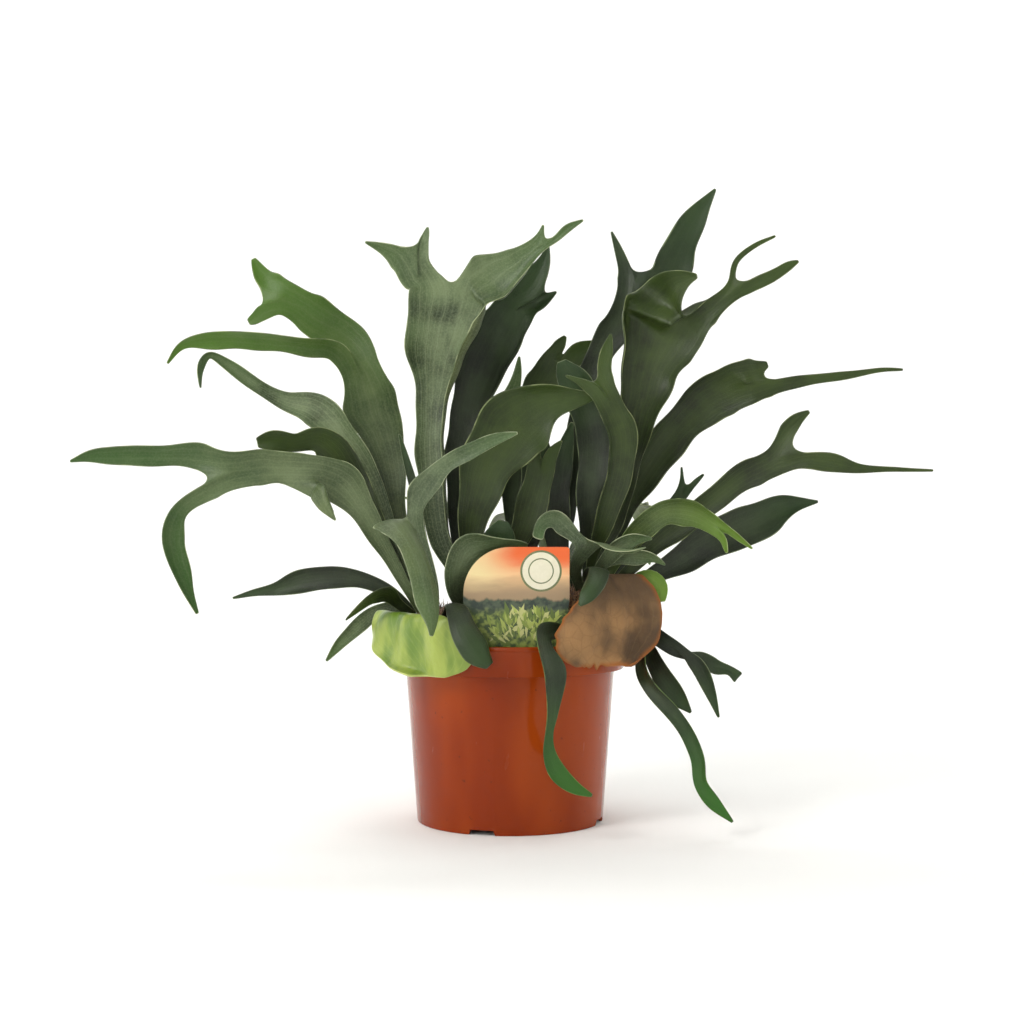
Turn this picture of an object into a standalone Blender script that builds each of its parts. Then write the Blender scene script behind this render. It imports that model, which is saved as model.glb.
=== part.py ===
"""Staghorn fern in a round nursery pot.

One plant of several rhizome tips grows in a glossy terracotta-coloured pot. Every frond is one
closed blade that forks like an antler, seated on the rhizome tip that bears it. Shield fronds
drape over the rim, and a plant label stands in the soil.

Metres, +Z up, origin on the pot's axis at its base. The front of the plant faces -Y.
"""
import math
from dataclasses import dataclass, field

import bmesh
import bpy
from mathutils import Matrix, Vector

# ---- driving dimensions, in millimetres unless they say otherwise ------------------------------
MM = 0.001
FIT_GAP = 0.4             # clearance between pieces that touch

POT_RIM_RADIUS = 95.0
POT_HEIGHT = 147.0
POT_COLLAR_BOTTOM = 123.4
POT_SHOULDER_RADIUS = 84.5
POT_FOOT_RADIUS = 75.2
POT_WALL = 2.0
POT_PLATE_Z = 2.4         # underside of the raised base plate
POT_PLATE_THICK = 1.6
POT_BOSS_RADIUS = 32.0    # flat disc at the middle of the base
POT_SEGMENTS = 64
DRAIN_HEIGHT = 4.2
DRAIN_WIDTH = 23.0
DRAIN_FIRST_ANGLE = -107.0  # degrees round +Z, then every quarter turn

SOIL_TOP = 134.0

LABEL_Y = -70.0
LABEL_THICK = 0.8
LABEL_LEFT = -36.0
LABEL_RIGHT = 46.0
LABEL_TOP = 222.5
LABEL_SHOULDER = 36.0     # radius of the round shoulder on the plant's left
LABEL_FOOT = [(LABEL_LEFT, 166.0), (-34.0, 158.0), (-28.0, 150.0), (8.0, 147.0)]
LABEL_STAKE_X = 29.0
STAKE_HALF = 11.5
STAKE_TIP_HALF = 5.2
STAKE_DEPTH = 19.0

BLADE_THICK = 1.6
SHIELD_THICK = 2.0
SEAT_HALF = 4.0           # widest half width of a blade where it joins its rhizome tip
TIP_HALF_WIDTH = 0.7
STATION_STEP = 16.0       # spacing of the rows along a blade

CROWNS = {
    "left": ((-60.0, -18.0, 152.0), 22.0),
    "middle": ((-16.0, -4.0, 152.0), 18.0),
    "right": ((62.0, -10.0, 170.0), 22.0),
    "back": ((20.0, 40.0, 152.0), 22.0),
}


@dataclass
class Lobe:
    """A run of blade: its midline as (x, y, z, half width), and the lobes it forks into.

    A fork lists its lobes in the order the blade's columns run: across from the left edge to
    the right edge for a blade that climbs facing the front. The twist is in degrees along the lobe.
    """

    points: list
    forks: list = field(default_factory=list)
    shares: tuple = ()
    cup: float = 0.35
    twist: float = 0.0


@dataclass
class Frond:
    """A blade seated on one rhizome tip, with the way its upper face looks at the base."""

    crown: str
    lobe: Lobe
    finish: str = "felty_green_frond"
    face: tuple = (0.0, -1.0, 0.0)
    columns: int = 2


@dataclass
class Shield:
    """A broad shield frond: rows (angle, radius, z, half width) that wrap round the pot's axis.

    Angles are degrees from the front, positive towards the plant's left. The flare pushes the
    blade's far edge outwards.
    """

    crown: str
    rows: list
    finish: str
    columns: int = 6
    flare: float = 0.0


# ---- fronds of the left rhizome tip -------------------------------------------------------------
LEFT = {
    "frond_left_arch": Frond("left", Lobe([
        (-82, -8, 208, 4.5), (-91, -3, 253, 6.5), (-99, 4, 296, 15.6), (-112, 8, 333, 22.1),
        (-120, 4, 362, 18.7)
    ], [
        Lobe([
            (-140, -14, 379, 10), (-168, -28, 383, 8), (-206, -34, 386, 9.5), (-245, -32, 386, 7),
            (-263, -28, 381, 3.5), (-274, -24, 368, 1)
        ]),
        Lobe([
            (-130, 2, 391, 15), (-158, -2, 407, 17), (-180, -2, 422, 16.5)
        ], [
            Lobe([(-200, -6, 409, 9), (-212, -8, 403, 3)]),
            Lobe([(-197, 0, 438, 9), (-205, 0, 449, 5), (-209, 0, 456, 2)]),
        ]),
    ]), columns=4),
    "frond_left_middle": Frond("left", Lobe([
        (-86, -20, 208, 4), (-101, -14, 250, 6.5), (-114, -6, 279, 9.5), (-135, 0, 309, 12),
        (-159, 4, 334, 15), (-183, 4, 340, 8), (-208, 2, 353, 6), (-229, 0, 369, 5),
        (-244, -6, 377, 3), (-250, -14, 366, 4.5), (-249, -16, 349, 1),
    ])),
    "frond_left_long": Frond("left", Lobe([
        (-84, -40, 194, 4.5), (-99, -48, 223, 7), (-115, -54, 250, 11), (-132, -60, 272, 17),
        (-149, -66, 281, 17)
    ], [
        Lobe([
            (-156, -74, 276, 13), (-152, -78, 264, 20), (-143, -82, 252, 13), (-136, -86, 242, 2)
        ]),
        Lobe([
            (-170, -66, 284, 14), (-192, -68, 285, 15.5), (-212, -70, 282, 15.5)
        ], [
            Lobe([
                (-236, -76, 263, 7), (-254, -84, 248, 8), (-257, -92, 227, 10),
                (-247, -94, 198, 7.5), (-237, -92, 172, 1.5)
            ]),
            Lobe([
                (-239, -72, 293, 11.5), (-270, -76, 293, 9), (-303, -80, 293, 7.5),
                (-321, -82, 292, 5), (-336, -84, 288, 1)
            ]),
        ]),
    ], shares=(1, 3), cup=0.3), columns=4),
    "frond_left_curl": Frond("left", Lobe([
        (-86, -30, 202, 4.4), (-103, -36, 235, 7.2), (-120, -40, 267, 11.6),
        (-137, -44, 297, 13.8), (-152, -48, 307, 11.0), (-168, -50, 303, 8.8),
        (-185, -52, 306, 8.8), (-198, -52, 304, 3.9)
    ])),
    "frond_left_spear": Frond("left", Lobe([
        (-94, -18, 184, 5), (-119, -18, 195, 8), (-144, -16, 197, 10.5), (-166, -14, 194, 10),
        (-189, -12, 187, 6), (-208, -12, 184, 3), (-224, -12, 180, 1),
    ], cup=0.5)),
    "frond_left_short": Frond("left", Lobe([
        (-90, -26, 177, 4.5), (-98, -38, 186, 7.5), (-107, -47, 184, 9.5), (-117, -53, 175, 6),
        (-128, -58, 165, 1),
    ])),
    "frond_left_droop": Frond("left", Lobe([
        (-90, -4, 172, 4.5), (-108, 0, 168, 6.5), (-123, -6, 157, 7), (-135, -18, 145, 5),
        (-146, -32, 131, 1),
    ])),
    "frond_front_fork": Frond("left", Lobe([
        (-60, -54, 190, 4.5), (-66, -62, 212, 7), (-76, -64, 235, 11), (-82, -66, 248, 15),
    ], [
        Lobe([(-86, -76, 245, 14), (-81, -88, 234, 16.5), (-69, -98, 212, 14.5),
              (-62, -103, 190, 13.5), (-58, -106, 170, 7.5), (-59, -106, 156, 2)]),
        Lobe([(-67, -70, 265, 8.5), (-50, -74, 286, 7), (-27, -78, 298, 6.5),
              (-8, -81, 306, 4.5), (6, -82, 310, 1)]),
    ]), columns=4),
    "frond_front_dark": Frond("left", Lobe([
        (-48, -52, 174, 4.5), (-44, -74, 180, 6), (-39, -95, 173, 9), (-31, -107, 157, 12.5),
        (-22, -111, 144, 12.5), (-14, -111, 135, 4.5),
    ], cup=-0.4), "dark_frond", face=(0.0, 0.0, 1.0)),
}

# ---- fronds of the middle rhizome tip -----------------------------------------------------------
MIDDLE = {
    "frond_centre_tall": Frond("middle", Lobe([
        (-42, -12, 198, 6.2), (-56, -7, 230, 10.1), (-63, 0, 276, 12.9), (-64, 6, 325, 14.0),
        (-61, 8, 366, 21.8), (-54, 6, 402, 34.7), (-46, 2, 428, 47.0)
    ], [
        Lobe([
            (-75, 2, 440, 19)
        ], [
            Lobe([(-90, 2, 455, 10), (-104, 0, 464, 5), (-118, -2, 469, 1)]),
            Lobe([(-71, 2, 462, 8), (-67, 2, 482, 1)]),
        ]),
        Lobe([
            (-15, -2, 436, 23), (6, -6, 452, 14.5), (20, -8, 463, 9)
        ], [
            Lobe([(25, -8, 473, 4.5), (27, -8, 482, 1)]),
            Lobe([(36, -10, 469, 3), (47, -14, 478, 3.5), (59, -18, 484, 1)]),
        ]),
    ], cup=0.45), columns=4),
    "frond_centre_dark": Frond("middle", Lobe([
        (-30, 2, 192, 6.2), (-39, 14, 235, 11.2), (-39, 24, 293, 14.4), (-30, 32, 347, 18.8),
        (-12, 36, 393, 25.0), (4, 36, 417, 25.0)
    ], [
        Lobe([(15, 34, 438, 13.5), (28, 32, 458, 6.5), (32, 30, 471, 1)]),
        Lobe([(17, 38, 419, 8.5), (28, 38, 426, 6), (39, 38, 434, 1)]),
    ])),
    "frond_centre_broad": Frond("middle", Lobe([
        (-28, -22, 196, 4), (-32, -28, 227, 9), (-26, -34, 262, 17), (-12, -38, 296, 26),
        (6, -42, 322, 31), (30, -46, 336, 17), (50, -48, 339, 9), (62, -48, 340, 5),
        (70, -48, 342, 2)
    ])),
    "frond_front_wavy": Frond("middle", Lobe([
        (-36, -38, 176, 6.1), (-42, -50, 192, 10.8), (-40, -58, 210, 16.2), (-31, -62, 224, 18.9),
        (-16, -62, 227, 13.5), (2, -62, 225, 8.1), (14, -62, 223, 2.7)
    ])),
    "frond_front_round": Frond("middle", Lobe([
        (-12, -34, 182, 4), (-13, -46, 208, 9.5), (-8, -50, 228, 15.5), (-6, -52, 238, 10),
        (-5, -52, 243, 4),
    ])),
}

# ---- fronds of the right rhizome tip ------------------------------------------------------------
RIGHT = {
    "frond_mid_right": Frond("right", Lobe([
        (66, -22, 214, 4.5), (72, -33, 234, 7), (80, -42, 257, 10), (87, -48, 283, 12),
        (88, -52, 310, 12), (78, -54, 334, 12),
    ], [
        Lobe([(62, -56, 346, 5.5), (53, -56, 352, 3), (43, -56, 356, 1)]),
        Lobe([(74, -54, 357, 6.5), (76, -54, 375, 5.5), (79, -54, 389, 1)]),
    ])),
    "frond_mid_dark": Frond("right", Lobe([
        (62, -12, 214, 4.5), (62, -20, 240, 7), (64, -26, 272, 12), (67, -26, 303, 14.5),
        (62, -28, 332, 14.5), (51, -30, 352, 15), (44, -30, 363, 10), (41, -30, 370, 4),
    ]), "dark_frond"),
    "frond_right_tall": Frond("right", Lobe([
        (71, -2, 214, 7.0), (84, 2, 246, 10.2), (94, 2, 284, 12.8), (103, 2, 329, 16.6),
        (112, 0, 365, 26.9), (126, -4, 400, 39.7)
    ], [
        Lobe([
            (122, -8, 421, 22), (132, -16, 433, 15), (144, -24, 438, 6), (150, -28, 438, 2)
        ]),
        Lobe([
            (154, -6, 408, 14), (172, -8, 421, 8.5)
        ], [
            Lobe([
                (178, -8, 434, 2.8), (183, -6, 452, 2.5), (199, -4, 466, 2.4), (216, -2, 474, 1)
            ]),
            Lobe([
                (190, -10, 429, 5), (211, -12, 439, 5.5), (226, -12, 449, 4), (233, -12, 452, 1)
            ]),
        ]),
    ]), columns=4),
    "frond_right_wide": Frond("right", Lobe([
        (82, 10, 212, 5.0), (92, 16, 244, 8.2), (108, 16, 276, 12.7), (130, 18, 308, 16.5),
        (158, 18, 337, 19.8), (188, 16, 355, 22.0)
    ], [
        Lobe([(203, 14, 368, 7.5), (212, 12, 371, 3)]),
        Lobe([
            (215, 14, 352, 7.5), (242, 12, 357, 5), (278, 10, 362, 3.5), (304, 8, 366, 2),
            (322, 8, 366, 1)
        ]),
    ])),
    "frond_right_long": Frond("right", Lobe([
        (92, -28, 200, 5.2), (112, -35, 221, 8.0), (136, -40, 240, 9.8), (161, -44, 259, 10.3),
        (188, -46, 279, 12.1), (210, -46, 290, 13.8)
    ], [
        Lobe([(215, -42, 309, 7), (225, -40, 321, 6), (237, -38, 329, 1.5)]),
        Lobe([
            (232, -48, 290, 6.5), (251, -50, 288, 8.5), (272, -50, 284, 4.5), (302, -50, 283, 2),
            (332, -50, 282, 1)
        ]),
    ])),
    "frond_right_spear": Frond("right", Lobe([
        (98, -10, 190, 4.5), (118, -12, 200, 8), (142, -10, 214, 14), (169, -8, 229, 17.5),
        (195, -6, 240, 18.5), (216, -4, 251, 13), (234, -2, 256, 6), (251, 0, 258, 1),
    ], cup=0.5), "dark_frond"),
    "frond_right_lime": Frond("right", Lobe([
        (84, -18, 208, 4.8), (92, -34, 224, 7.2), (104, -48, 239, 9.6), (123, -56, 251, 11.4),
        (144, -62, 249, 13.2), (158, -66, 240, 10.8)
    ], [
        Lobe([(175, -70, 231, 3), (187, -72, 221, 1)]),
        Lobe([(164, -72, 231, 4.5), (167, -76, 218, 1.5)]),
    ])),
    "frond_right_spikes": Frond("right", Lobe([
        (90, -4, 206, 3.5), (114, -8, 235, 5), (130, -12, 253, 6.5), (138, -14, 262, 6.5),
    ], [
        Lobe([(139, -16, 274, 2.5), (138, -16, 286, 1)]),
        Lobe([(147, -16, 271, 3), (156, -16, 280, 1)]),
    ])),
    "frond_front_right": Frond("right", Lobe([
        (52, -34, 200, 5.9), (52, -46, 207, 9.1), (56, -54, 214, 13.0), (63, -60, 221, 18.2)
    ], [
        Lobe([(46, -62, 235, 9), (33, -66, 244, 7), (24, -72, 240, 6), (21, -77, 229, 5)]),
        Lobe([(76, -69, 222, 9), (92, -76, 221, 6), (104, -80, 223, 2)]),
    ])),
    "frond_right_curl": Frond("right", Lobe([
        (70, -32, 204, 4), (77, -46, 214, 6.5), (85, -58, 223, 8.5), (97, -64, 229, 6.5),
        (110, -68, 229, 1.5),
    ])),
    "frond_hanging": Frond("right", Lobe([
        (58, -44, 158, 4), (54, -60, 156, 4), (46, -76, 156, 4.5), (34, -85, 159, 6),
        (26, -96, 158, 7.5), (27, -105, 146, 8.5), (31, -108, 130, 8.5), (32, -107, 115, 7),
        (31, -107, 97, 4), (29, -107, 84, 3), (29, -107, 69, 4.5),
        (35, -107, 54, 5.5), (47, -107, 44, 4.5), (62, -107, 37, 1),
    ], twist=50.0), "dark_frond", face=(1.0, 0.0, 0.0)),
    "frond_droop_long": Frond("right", Lobe([
        (98, -22, 164, 4), (104, -36, 146, 5), (103, -52, 126, 6), (109, -66, 112, 6),
        (125, -75, 96, 6), (138, -78, 76, 6), (144, -80, 60, 6), (145, -82, 43, 6),
        (156, -84, 28, 6), (170, -86, 13, 1),
    ]), "dark_frond"),
    "frond_droop_broad": Frond("right", Lobe([
        (100, -10, 160, 4), (110, -26, 142, 6), (119, -40, 121, 9.5), (131, -46, 105, 8.5),
        (142, -50, 92, 1),
    ]), "dark_frond"),
    "frond_droop_fork": Frond("right", Lobe([
        (99, 2, 166, 4), (114, -8, 152, 6.5), (132, -14, 140, 9),
    ], [
        Lobe([(150, -20, 126, 7), (160, -22, 106, 5), (167, -24, 85, 1)]),
        Lobe([(155, -6, 131, 5.5), (167, -2, 123, 6.5), (178, 0, 121, 4), (186, 2, 114, 6)]),
    ]), "dark_frond"),
    "shield_frond_lime": Frond("right", Lobe([
        (98, -24, 184, 6), (107, -31, 191, 10), (114, -36, 188, 12), (115, -38, 179, 9),
        (113, -38, 171, 3),
    ], cup=-0.4), "green_shield_frond", face=(0.0, 0.0, 1.0), columns=4),
}

# ---- fronds of the back rhizome tip, some of them hidden from the front -------------------------
BACK = {
    "frond_right_back": Frond("back", Lobe([
        (34, 40, 200, 5), (44, 34, 238, 8), (50, 30, 284, 10), (60, 27, 334, 10.5),
        (75, 26, 382, 12.5), (97, 24, 414, 17),
    ], [
        Lobe([(95, 24, 446, 6.5), (90, 24, 465, 4), (84, 24, 482, 1)]),
        Lobe([(131, 22, 446, 17), (144, 22, 474, 14), (157, 22, 499, 8.5), (170, 22, 517, 1)]),
    ])),
    "frond_back_olive": Frond("back", Lobe([
        (20, 50, 196, 5), (16, 56, 243, 7.5), (15, 58, 302, 13.5), (25, 58, 348, 19),
        (39, 58, 374, 20),
    ], [
        Lobe([(40, 58, 388, 7), (47, 58, 399, 1.5)]),
        Lobe([(61, 58, 385, 9), (76, 58, 394, 2)]),
    ])),
    "frond_back_under": Frond("back", Lobe([
        (12, 26, 198, 4.5), (4, 18, 235, 7.5), (4, 10, 280, 13), (10, 4, 316, 17),
        (16, 2, 340, 15), (28, 0, 350, 5),
    ])),
    "frond_rear_left": Frond("back", Lobe([
        (0, 58, 190, 5), (-22, 84, 222, 9), (-44, 108, 250, 14), (-66, 132, 262, 17),
    ], [
        Lobe([(-80, 160, 256, 11), (-86, 190, 238, 7), (-86, 212, 212, 1)]),
        Lobe([(-96, 138, 262, 9), (-124, 146, 252, 6), (-146, 150, 232, 1)]),
    ], cup=0.3), face=(0.0, 0.0, 1.0)),
    "frond_rear_middle": Frond("back", Lobe([
        (16, 68, 186, 5), (16, 98, 216, 9), (12, 130, 240, 14), (10, 158, 248, 18),
    ], [
        Lobe([(20, 186, 240, 10), (30, 212, 222, 6), (34, 230, 198, 1)]),
        Lobe([(-4, 186, 244, 9), (-14, 210, 236, 5), (-22, 230, 222, 1)]),
    ], cup=0.3), face=(0.0, 0.0, 1.0)),
    "frond_rear_right": Frond("back", Lobe([
        (40, 60, 188, 5), (62, 84, 222, 9), (84, 106, 248, 13), (104, 126, 256, 17),
    ], [
        Lobe([(132, 134, 250, 9), (158, 140, 232, 6), (174, 144, 206, 1)]),
        Lobe([(116, 154, 250, 10), (126, 180, 230, 7), (130, 198, 200, 1)]),
    ], cup=0.3), face=(0.0, 0.0, 1.0)),
    "frond_rear_upright": Frond("back", Lobe([
        (16, 58, 204, 5), (8, 74, 244, 8), (-2, 86, 284, 12), (-12, 94, 318, 17),
    ], [
        Lobe([(-28, 98, 344, 10), (-40, 100, 366, 6), (-46, 100, 388, 1)]),
        Lobe([(-2, 98, 346, 9), (6, 102, 368, 5), (8, 104, 386, 1)]),
    ]), face=(0.0, 1.0, 0.0)),
    "frond_rear_droop": Frond("back", Lobe([
        (46, 66, 172, 5), (64, 88, 178, 8), (78, 104, 164, 11), (84, 112, 132, 12),
        (84, 112, 96, 7), (82, 110, 66, 1),
    ]), "dark_frond", face=(0.0, 0.0, 1.0)),
}

# ---- shield fronds, broad blades that drape over the rim ----------------------------------------
SHIELDS = {
    "shield_frond_green": Shield("left", [
        (64, 84, 163, 18), (60, 92, 169, 33), (56, 98, 170, 45), (52, 103, 160, 54),
        (48, 102, 148, 57), (44, 100, 137, 48), (40, 98.5, 128, 32), (37, 98, 123, 12),
    ], "green_shield_frond", flare=12.0),
    "shield_frond_brown": Shield("right", [
        (-52, 80, 195, 15), (-51, 88, 198, 24), (-50, 95, 191, 32), (-48, 101, 176, 40),
        (-46, 103, 162, 44), (-44.5, 102.5, 150, 44), (-43, 100.5, 138, 34), (-41, 99, 130, 15),
    ], "papery_brown_shield_frond"),
    "shield_frond_rear": Shield("back", [
        (-172, 74, 168, 16), (-178, 85, 174, 28), (-180, 95, 170, 37), (-180, 101, 158, 41),
        (-180, 101, 146, 38), (-180, 99.5, 136, 25), (-180, 98.5, 129, 9),
    ], "papery_brown_shield_frond"),
}

FINISHES = {
    "terracotta_plastic": ((0.36, 0.082, 0.029), 0.32),
    "potting_soil": ((0.028, 0.019, 0.013), 0.95),
    "printed_label_plastic": ((0.62, 0.30, 0.14), 0.35),
    "hairy_brown_rhizome": ((0.11, 0.062, 0.03), 0.95),
    "felty_green_frond": ((0.072, 0.125, 0.066), 0.62),
    "dark_frond": ((0.030, 0.070, 0.045), 0.55),
    "green_shield_frond": ((0.21, 0.33, 0.07), 0.5),
    "papery_brown_shield_frond": ((0.36, 0.20, 0.10), 0.9),
}


def make_finish(name):
    """One Principled material, shared by the pieces of the same stuff."""
    if name in bpy.data.materials:
        return bpy.data.materials[name]
    colour, rough = FINISHES[name]
    material = bpy.data.materials.new(name)
    material.use_nodes = True
    shader = material.node_tree.nodes["Principled BSDF"]
    shader.inputs["Base Color"].default_value = (*colour, 1.0)
    shader.inputs["Roughness"].default_value = rough
    material.diffuse_color = (*colour, 1.0)
    return material


def add_object(name, bm, finish):
    """Close off a bmesh given in millimetres as a named object in metres."""
    bmesh.ops.remove_doubles(bm, verts=bm.verts[:], dist=0.001)
    bmesh.ops.scale(bm, vec=(MM, MM, MM), verts=bm.verts[:])
    bmesh.ops.recalc_face_normals(bm, faces=bm.faces[:])
    mesh = bpy.data.meshes.new(name)
    bm.to_mesh(mesh)
    bm.free()
    obj = bpy.data.objects.new(name, mesh)
    bpy.context.collection.objects.link(obj)
    mesh.materials.append(make_finish(finish))
    return obj


def lathe(name, profile, segments, finish):
    """Turn a closed (radius, z) profile that starts and ends on the axis."""
    bm = bmesh.new()
    verts = [bm.verts.new((radius, 0.0, z)) for radius, z in profile]
    edges = [bm.edges.new(pair) for pair in zip(verts, verts[1:])]
    bmesh.ops.spin(bm, geom=verts + edges, cent=(0, 0, 0), axis=(0, 0, 1),
                   angle=math.tau, steps=segments, use_merge=True)
    bmesh.ops.dissolve_degenerate(bm, edges=bm.edges[:], dist=0.001)
    return add_object(name, bm, finish)


def cut_with(target, cutters):
    """Take each cutter's volume out of the target."""
    for cutter in cutters:
        cutter.hide_render = True
        cutter.display_type = "WIRE"
        cut = target.modifiers.new("cut_" + cutter.name, "BOOLEAN")
        cut.operation = "DIFFERENCE"
        cut.solver = "EXACT"
        cut.object = cutter


# ---- midlines -----------------------------------------------------------------------------------
def curve_point(knots, controls, index, amount):
    """A centripetal Catmull-Rom point between control index and index + 1."""
    t0, t1, t2, t3 = knots[index - 1:index + 3]
    p0, p1, p2, p3 = controls[index - 1:index + 3]
    t = t1 + (t2 - t1) * amount
    a1 = p0.lerp(p1, (t - t0) / (t1 - t0))
    a2 = p1.lerp(p2, (t - t1) / (t2 - t1))
    a3 = p2.lerp(p3, (t - t2) / (t3 - t2))
    b1 = a1.lerp(a2, (t - t0) / (t2 - t0))
    b2 = a2.lerp(a3, (t - t1) / (t3 - t1))
    return b1.lerp(b2, (t - t1) / (t2 - t1))


def stations(controls, lead, step):
    """Sample (place, half width) along the controls, about one station every step."""
    ghost = Vector((*(controls[0].xyz - lead), controls[0].w))
    last = controls[-1] + (controls[-1] - controls[-2])
    chain = [ghost] + controls + [last]
    knots = [0.0]
    for one, two in zip(chain, chain[1:]):
        knots.append(knots[-1] + math.sqrt(max((two.xyz - one.xyz).length, 0.01)))
    found = []
    for index in range(1, len(controls)):
        span = (chain[index + 1].xyz - chain[index].xyz).length
        count = max(1, round(span / step))
        for part in range(count):
            found.append(curve_point(knots, chain, index, part / count))
    found.append(controls[-1])
    return [(point.xyz, max(point.w, TIP_HALF_WIDTH)) for point in found]


def turn_along(side, old, new):
    """Carry the side vector from one direction of travel to the next without twisting it."""
    turned = old.rotation_difference(new) @ side
    return (turned - new * turned.dot(new)).normalized()


def cross_row(place, half, side, along, cup, columns):
    """Points across the blade: an arc whose edges rise towards the upper face."""
    normal = side.cross(along)
    row = []
    for column in range(columns + 1):
        across = 2.0 * column / columns - 1.0
        if abs(cup) < 0.01 or columns == 1:
            row.append(place + side * (half * across))
            continue
        angle = cup * across
        radius = half / math.sin(abs(cup))
        rise = radius * (1.0 - math.cos(angle)) * math.copysign(1.0, cup)
        row.append(place + side * (radius * math.sin(abs(cup) * across)) + normal * rise)
    return row


def extrude_row(bm, row, positions):
    """Grow the blade by one row of faces."""
    edges = [bm.edges.get((one, two)) for one, two in zip(row, row[1:])]
    made = bmesh.ops.extrude_edge_only(bm, edges=edges)["geom"]
    new = {item for item in made if isinstance(item, bmesh.types.BMVert)}
    grown = []
    for old, position in zip(row, positions):
        vert = next(edge.other_vert(old) for edge in old.link_edges
                    if edge.other_vert(old) in new)
        vert.co = position
        grown.append(vert)
    return grown


def grow_lobe(bm, lobe, row, start, side, along, step):
    """Grow one lobe from a row of vertices, then its forks from parts of its last row."""
    columns = len(row) - 1
    controls = [start] + [Vector(point) for point in lobe.points]
    lead = along * (controls[1].xyz - controls[0].xyz).length * 0.5
    path = stations(controls, lead, step)
    for index in range(1, len(path)):
        place, half = path[index]
        ahead = path[min(index + 1, len(path) - 1)][0] - path[index - 1][0]
        ahead.normalize()
        side = turn_along(side, along, ahead)
        side.rotate(Matrix.Rotation(math.radians(lobe.twist) / (len(path) - 1), 3, ahead))
        along = ahead
        row = extrude_row(bm, row, cross_row(place, half, side, along, lobe.cup, columns))
    if not lobe.forks:
        return
    shares = lobe.shares or tuple(columns // len(lobe.forks) for _ in lobe.forks)
    first = 0
    for fork, share in zip(lobe.forks, shares):
        part = row[first:first + share + 1]
        first += share
        centre = (part[0].co + part[-1].co) * 0.5
        half = (part[0].co - part[-1].co).length * 0.5
        grow_lobe(bm, fork, part, Vector((*centre, half)), side, along, step)


def seat_distance(radius, along, half):
    """How far a blade's base sits from the centre of a domed tip with upright sides."""
    if along.z >= 0.0:
        return radius + FIT_GAP
    return (radius + FIT_GAP) / along.xy.length + half * abs(along.z)


def thicken(obj, thick):
    """Give a blade its thickness, half to each side."""
    solid = obj.modifiers.new("thickness", "SOLIDIFY")
    solid.thickness = thick * MM
    solid.offset = 0.0


def make_frond(name, frond, step):
    """One frond: a thin blade thickened into a closed solid, seated on its rhizome tip."""
    place, radius = CROWNS[frond.crown]
    centre = Vector(place)
    first = Vector(frond.lobe.points[0])
    along = (first.xyz - centre).normalized()
    half = min(first.w, SEAT_HALF)
    base = centre + along * seat_distance(radius, along, half)
    side = along.cross(Vector(frond.face)).normalized()
    bm = bmesh.new()
    spots = cross_row(base, half, side, along, 0.0, frond.columns)
    row = [bm.verts.new(spot) for spot in spots]
    for one, two in zip(row, row[1:]):
        bm.edges.new((one, two))
    grow_lobe(bm, frond.lobe, row, Vector((*base, half)), side, along, step)
    thicken(add_object(name, bm, frond.finish), BLADE_THICK)


def make_shield(name, shield):
    """A shield frond: lofted from its seat on the rhizome tip out and down over the rim."""
    place, radius = CROWNS[shield.crown]
    centre = Vector(place)
    angle, reach, z = shield.rows[0][:3]
    turn = math.radians(angle)
    first = Vector((-reach * math.sin(turn), -reach * math.cos(turn), z))
    along = (first - centre).normalized()
    base = centre + along * seat_distance(radius, along, SEAT_HALF)
    side = along.cross(Vector((0.0, 0.0, 1.0))).normalized()
    bm = bmesh.new()
    row = [bm.verts.new(spot) for spot in
           cross_row(base, SEAT_HALF, side, along, 0.0, shield.columns)]
    for one, two in zip(row, row[1:]):
        bm.edges.new((one, two))
    for angle, reach, z, half in shield.rows:
        spots = []
        for column in range(shield.columns + 1):
            across = 2.0 * column / shield.columns - 1.0
            out = reach + shield.flare * max(across, 0.0) ** 2
            turn = math.radians(angle) + half / reach * across
            spots.append(Vector((-out * math.sin(turn), -out * math.cos(turn), z)))
        row = extrude_row(bm, row, spots)
    thicken(add_object(name, bm, shield.finish), SHIELD_THICK)


def make_crown(name, place, radius):
    """A rhizome tip: a domed stub standing on the soil."""
    x, y, z = place
    floor = SOIL_TOP + FIT_GAP
    profile = [(0.0, floor), (radius * 0.86, floor), (radius, floor + 4.0)]
    steps = 5
    for index in range(steps + 1):
        angle = 0.5 * math.pi * index / steps
        profile.append((radius * math.cos(angle), z + radius * math.sin(angle)))
    profile[-1] = (0.0, z + radius)
    obj = lathe(name, profile, 20, "hairy_brown_rhizome")
    obj.data.transform(Matrix.Translation((x * MM, y * MM, 0.0)))
    return obj


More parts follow.
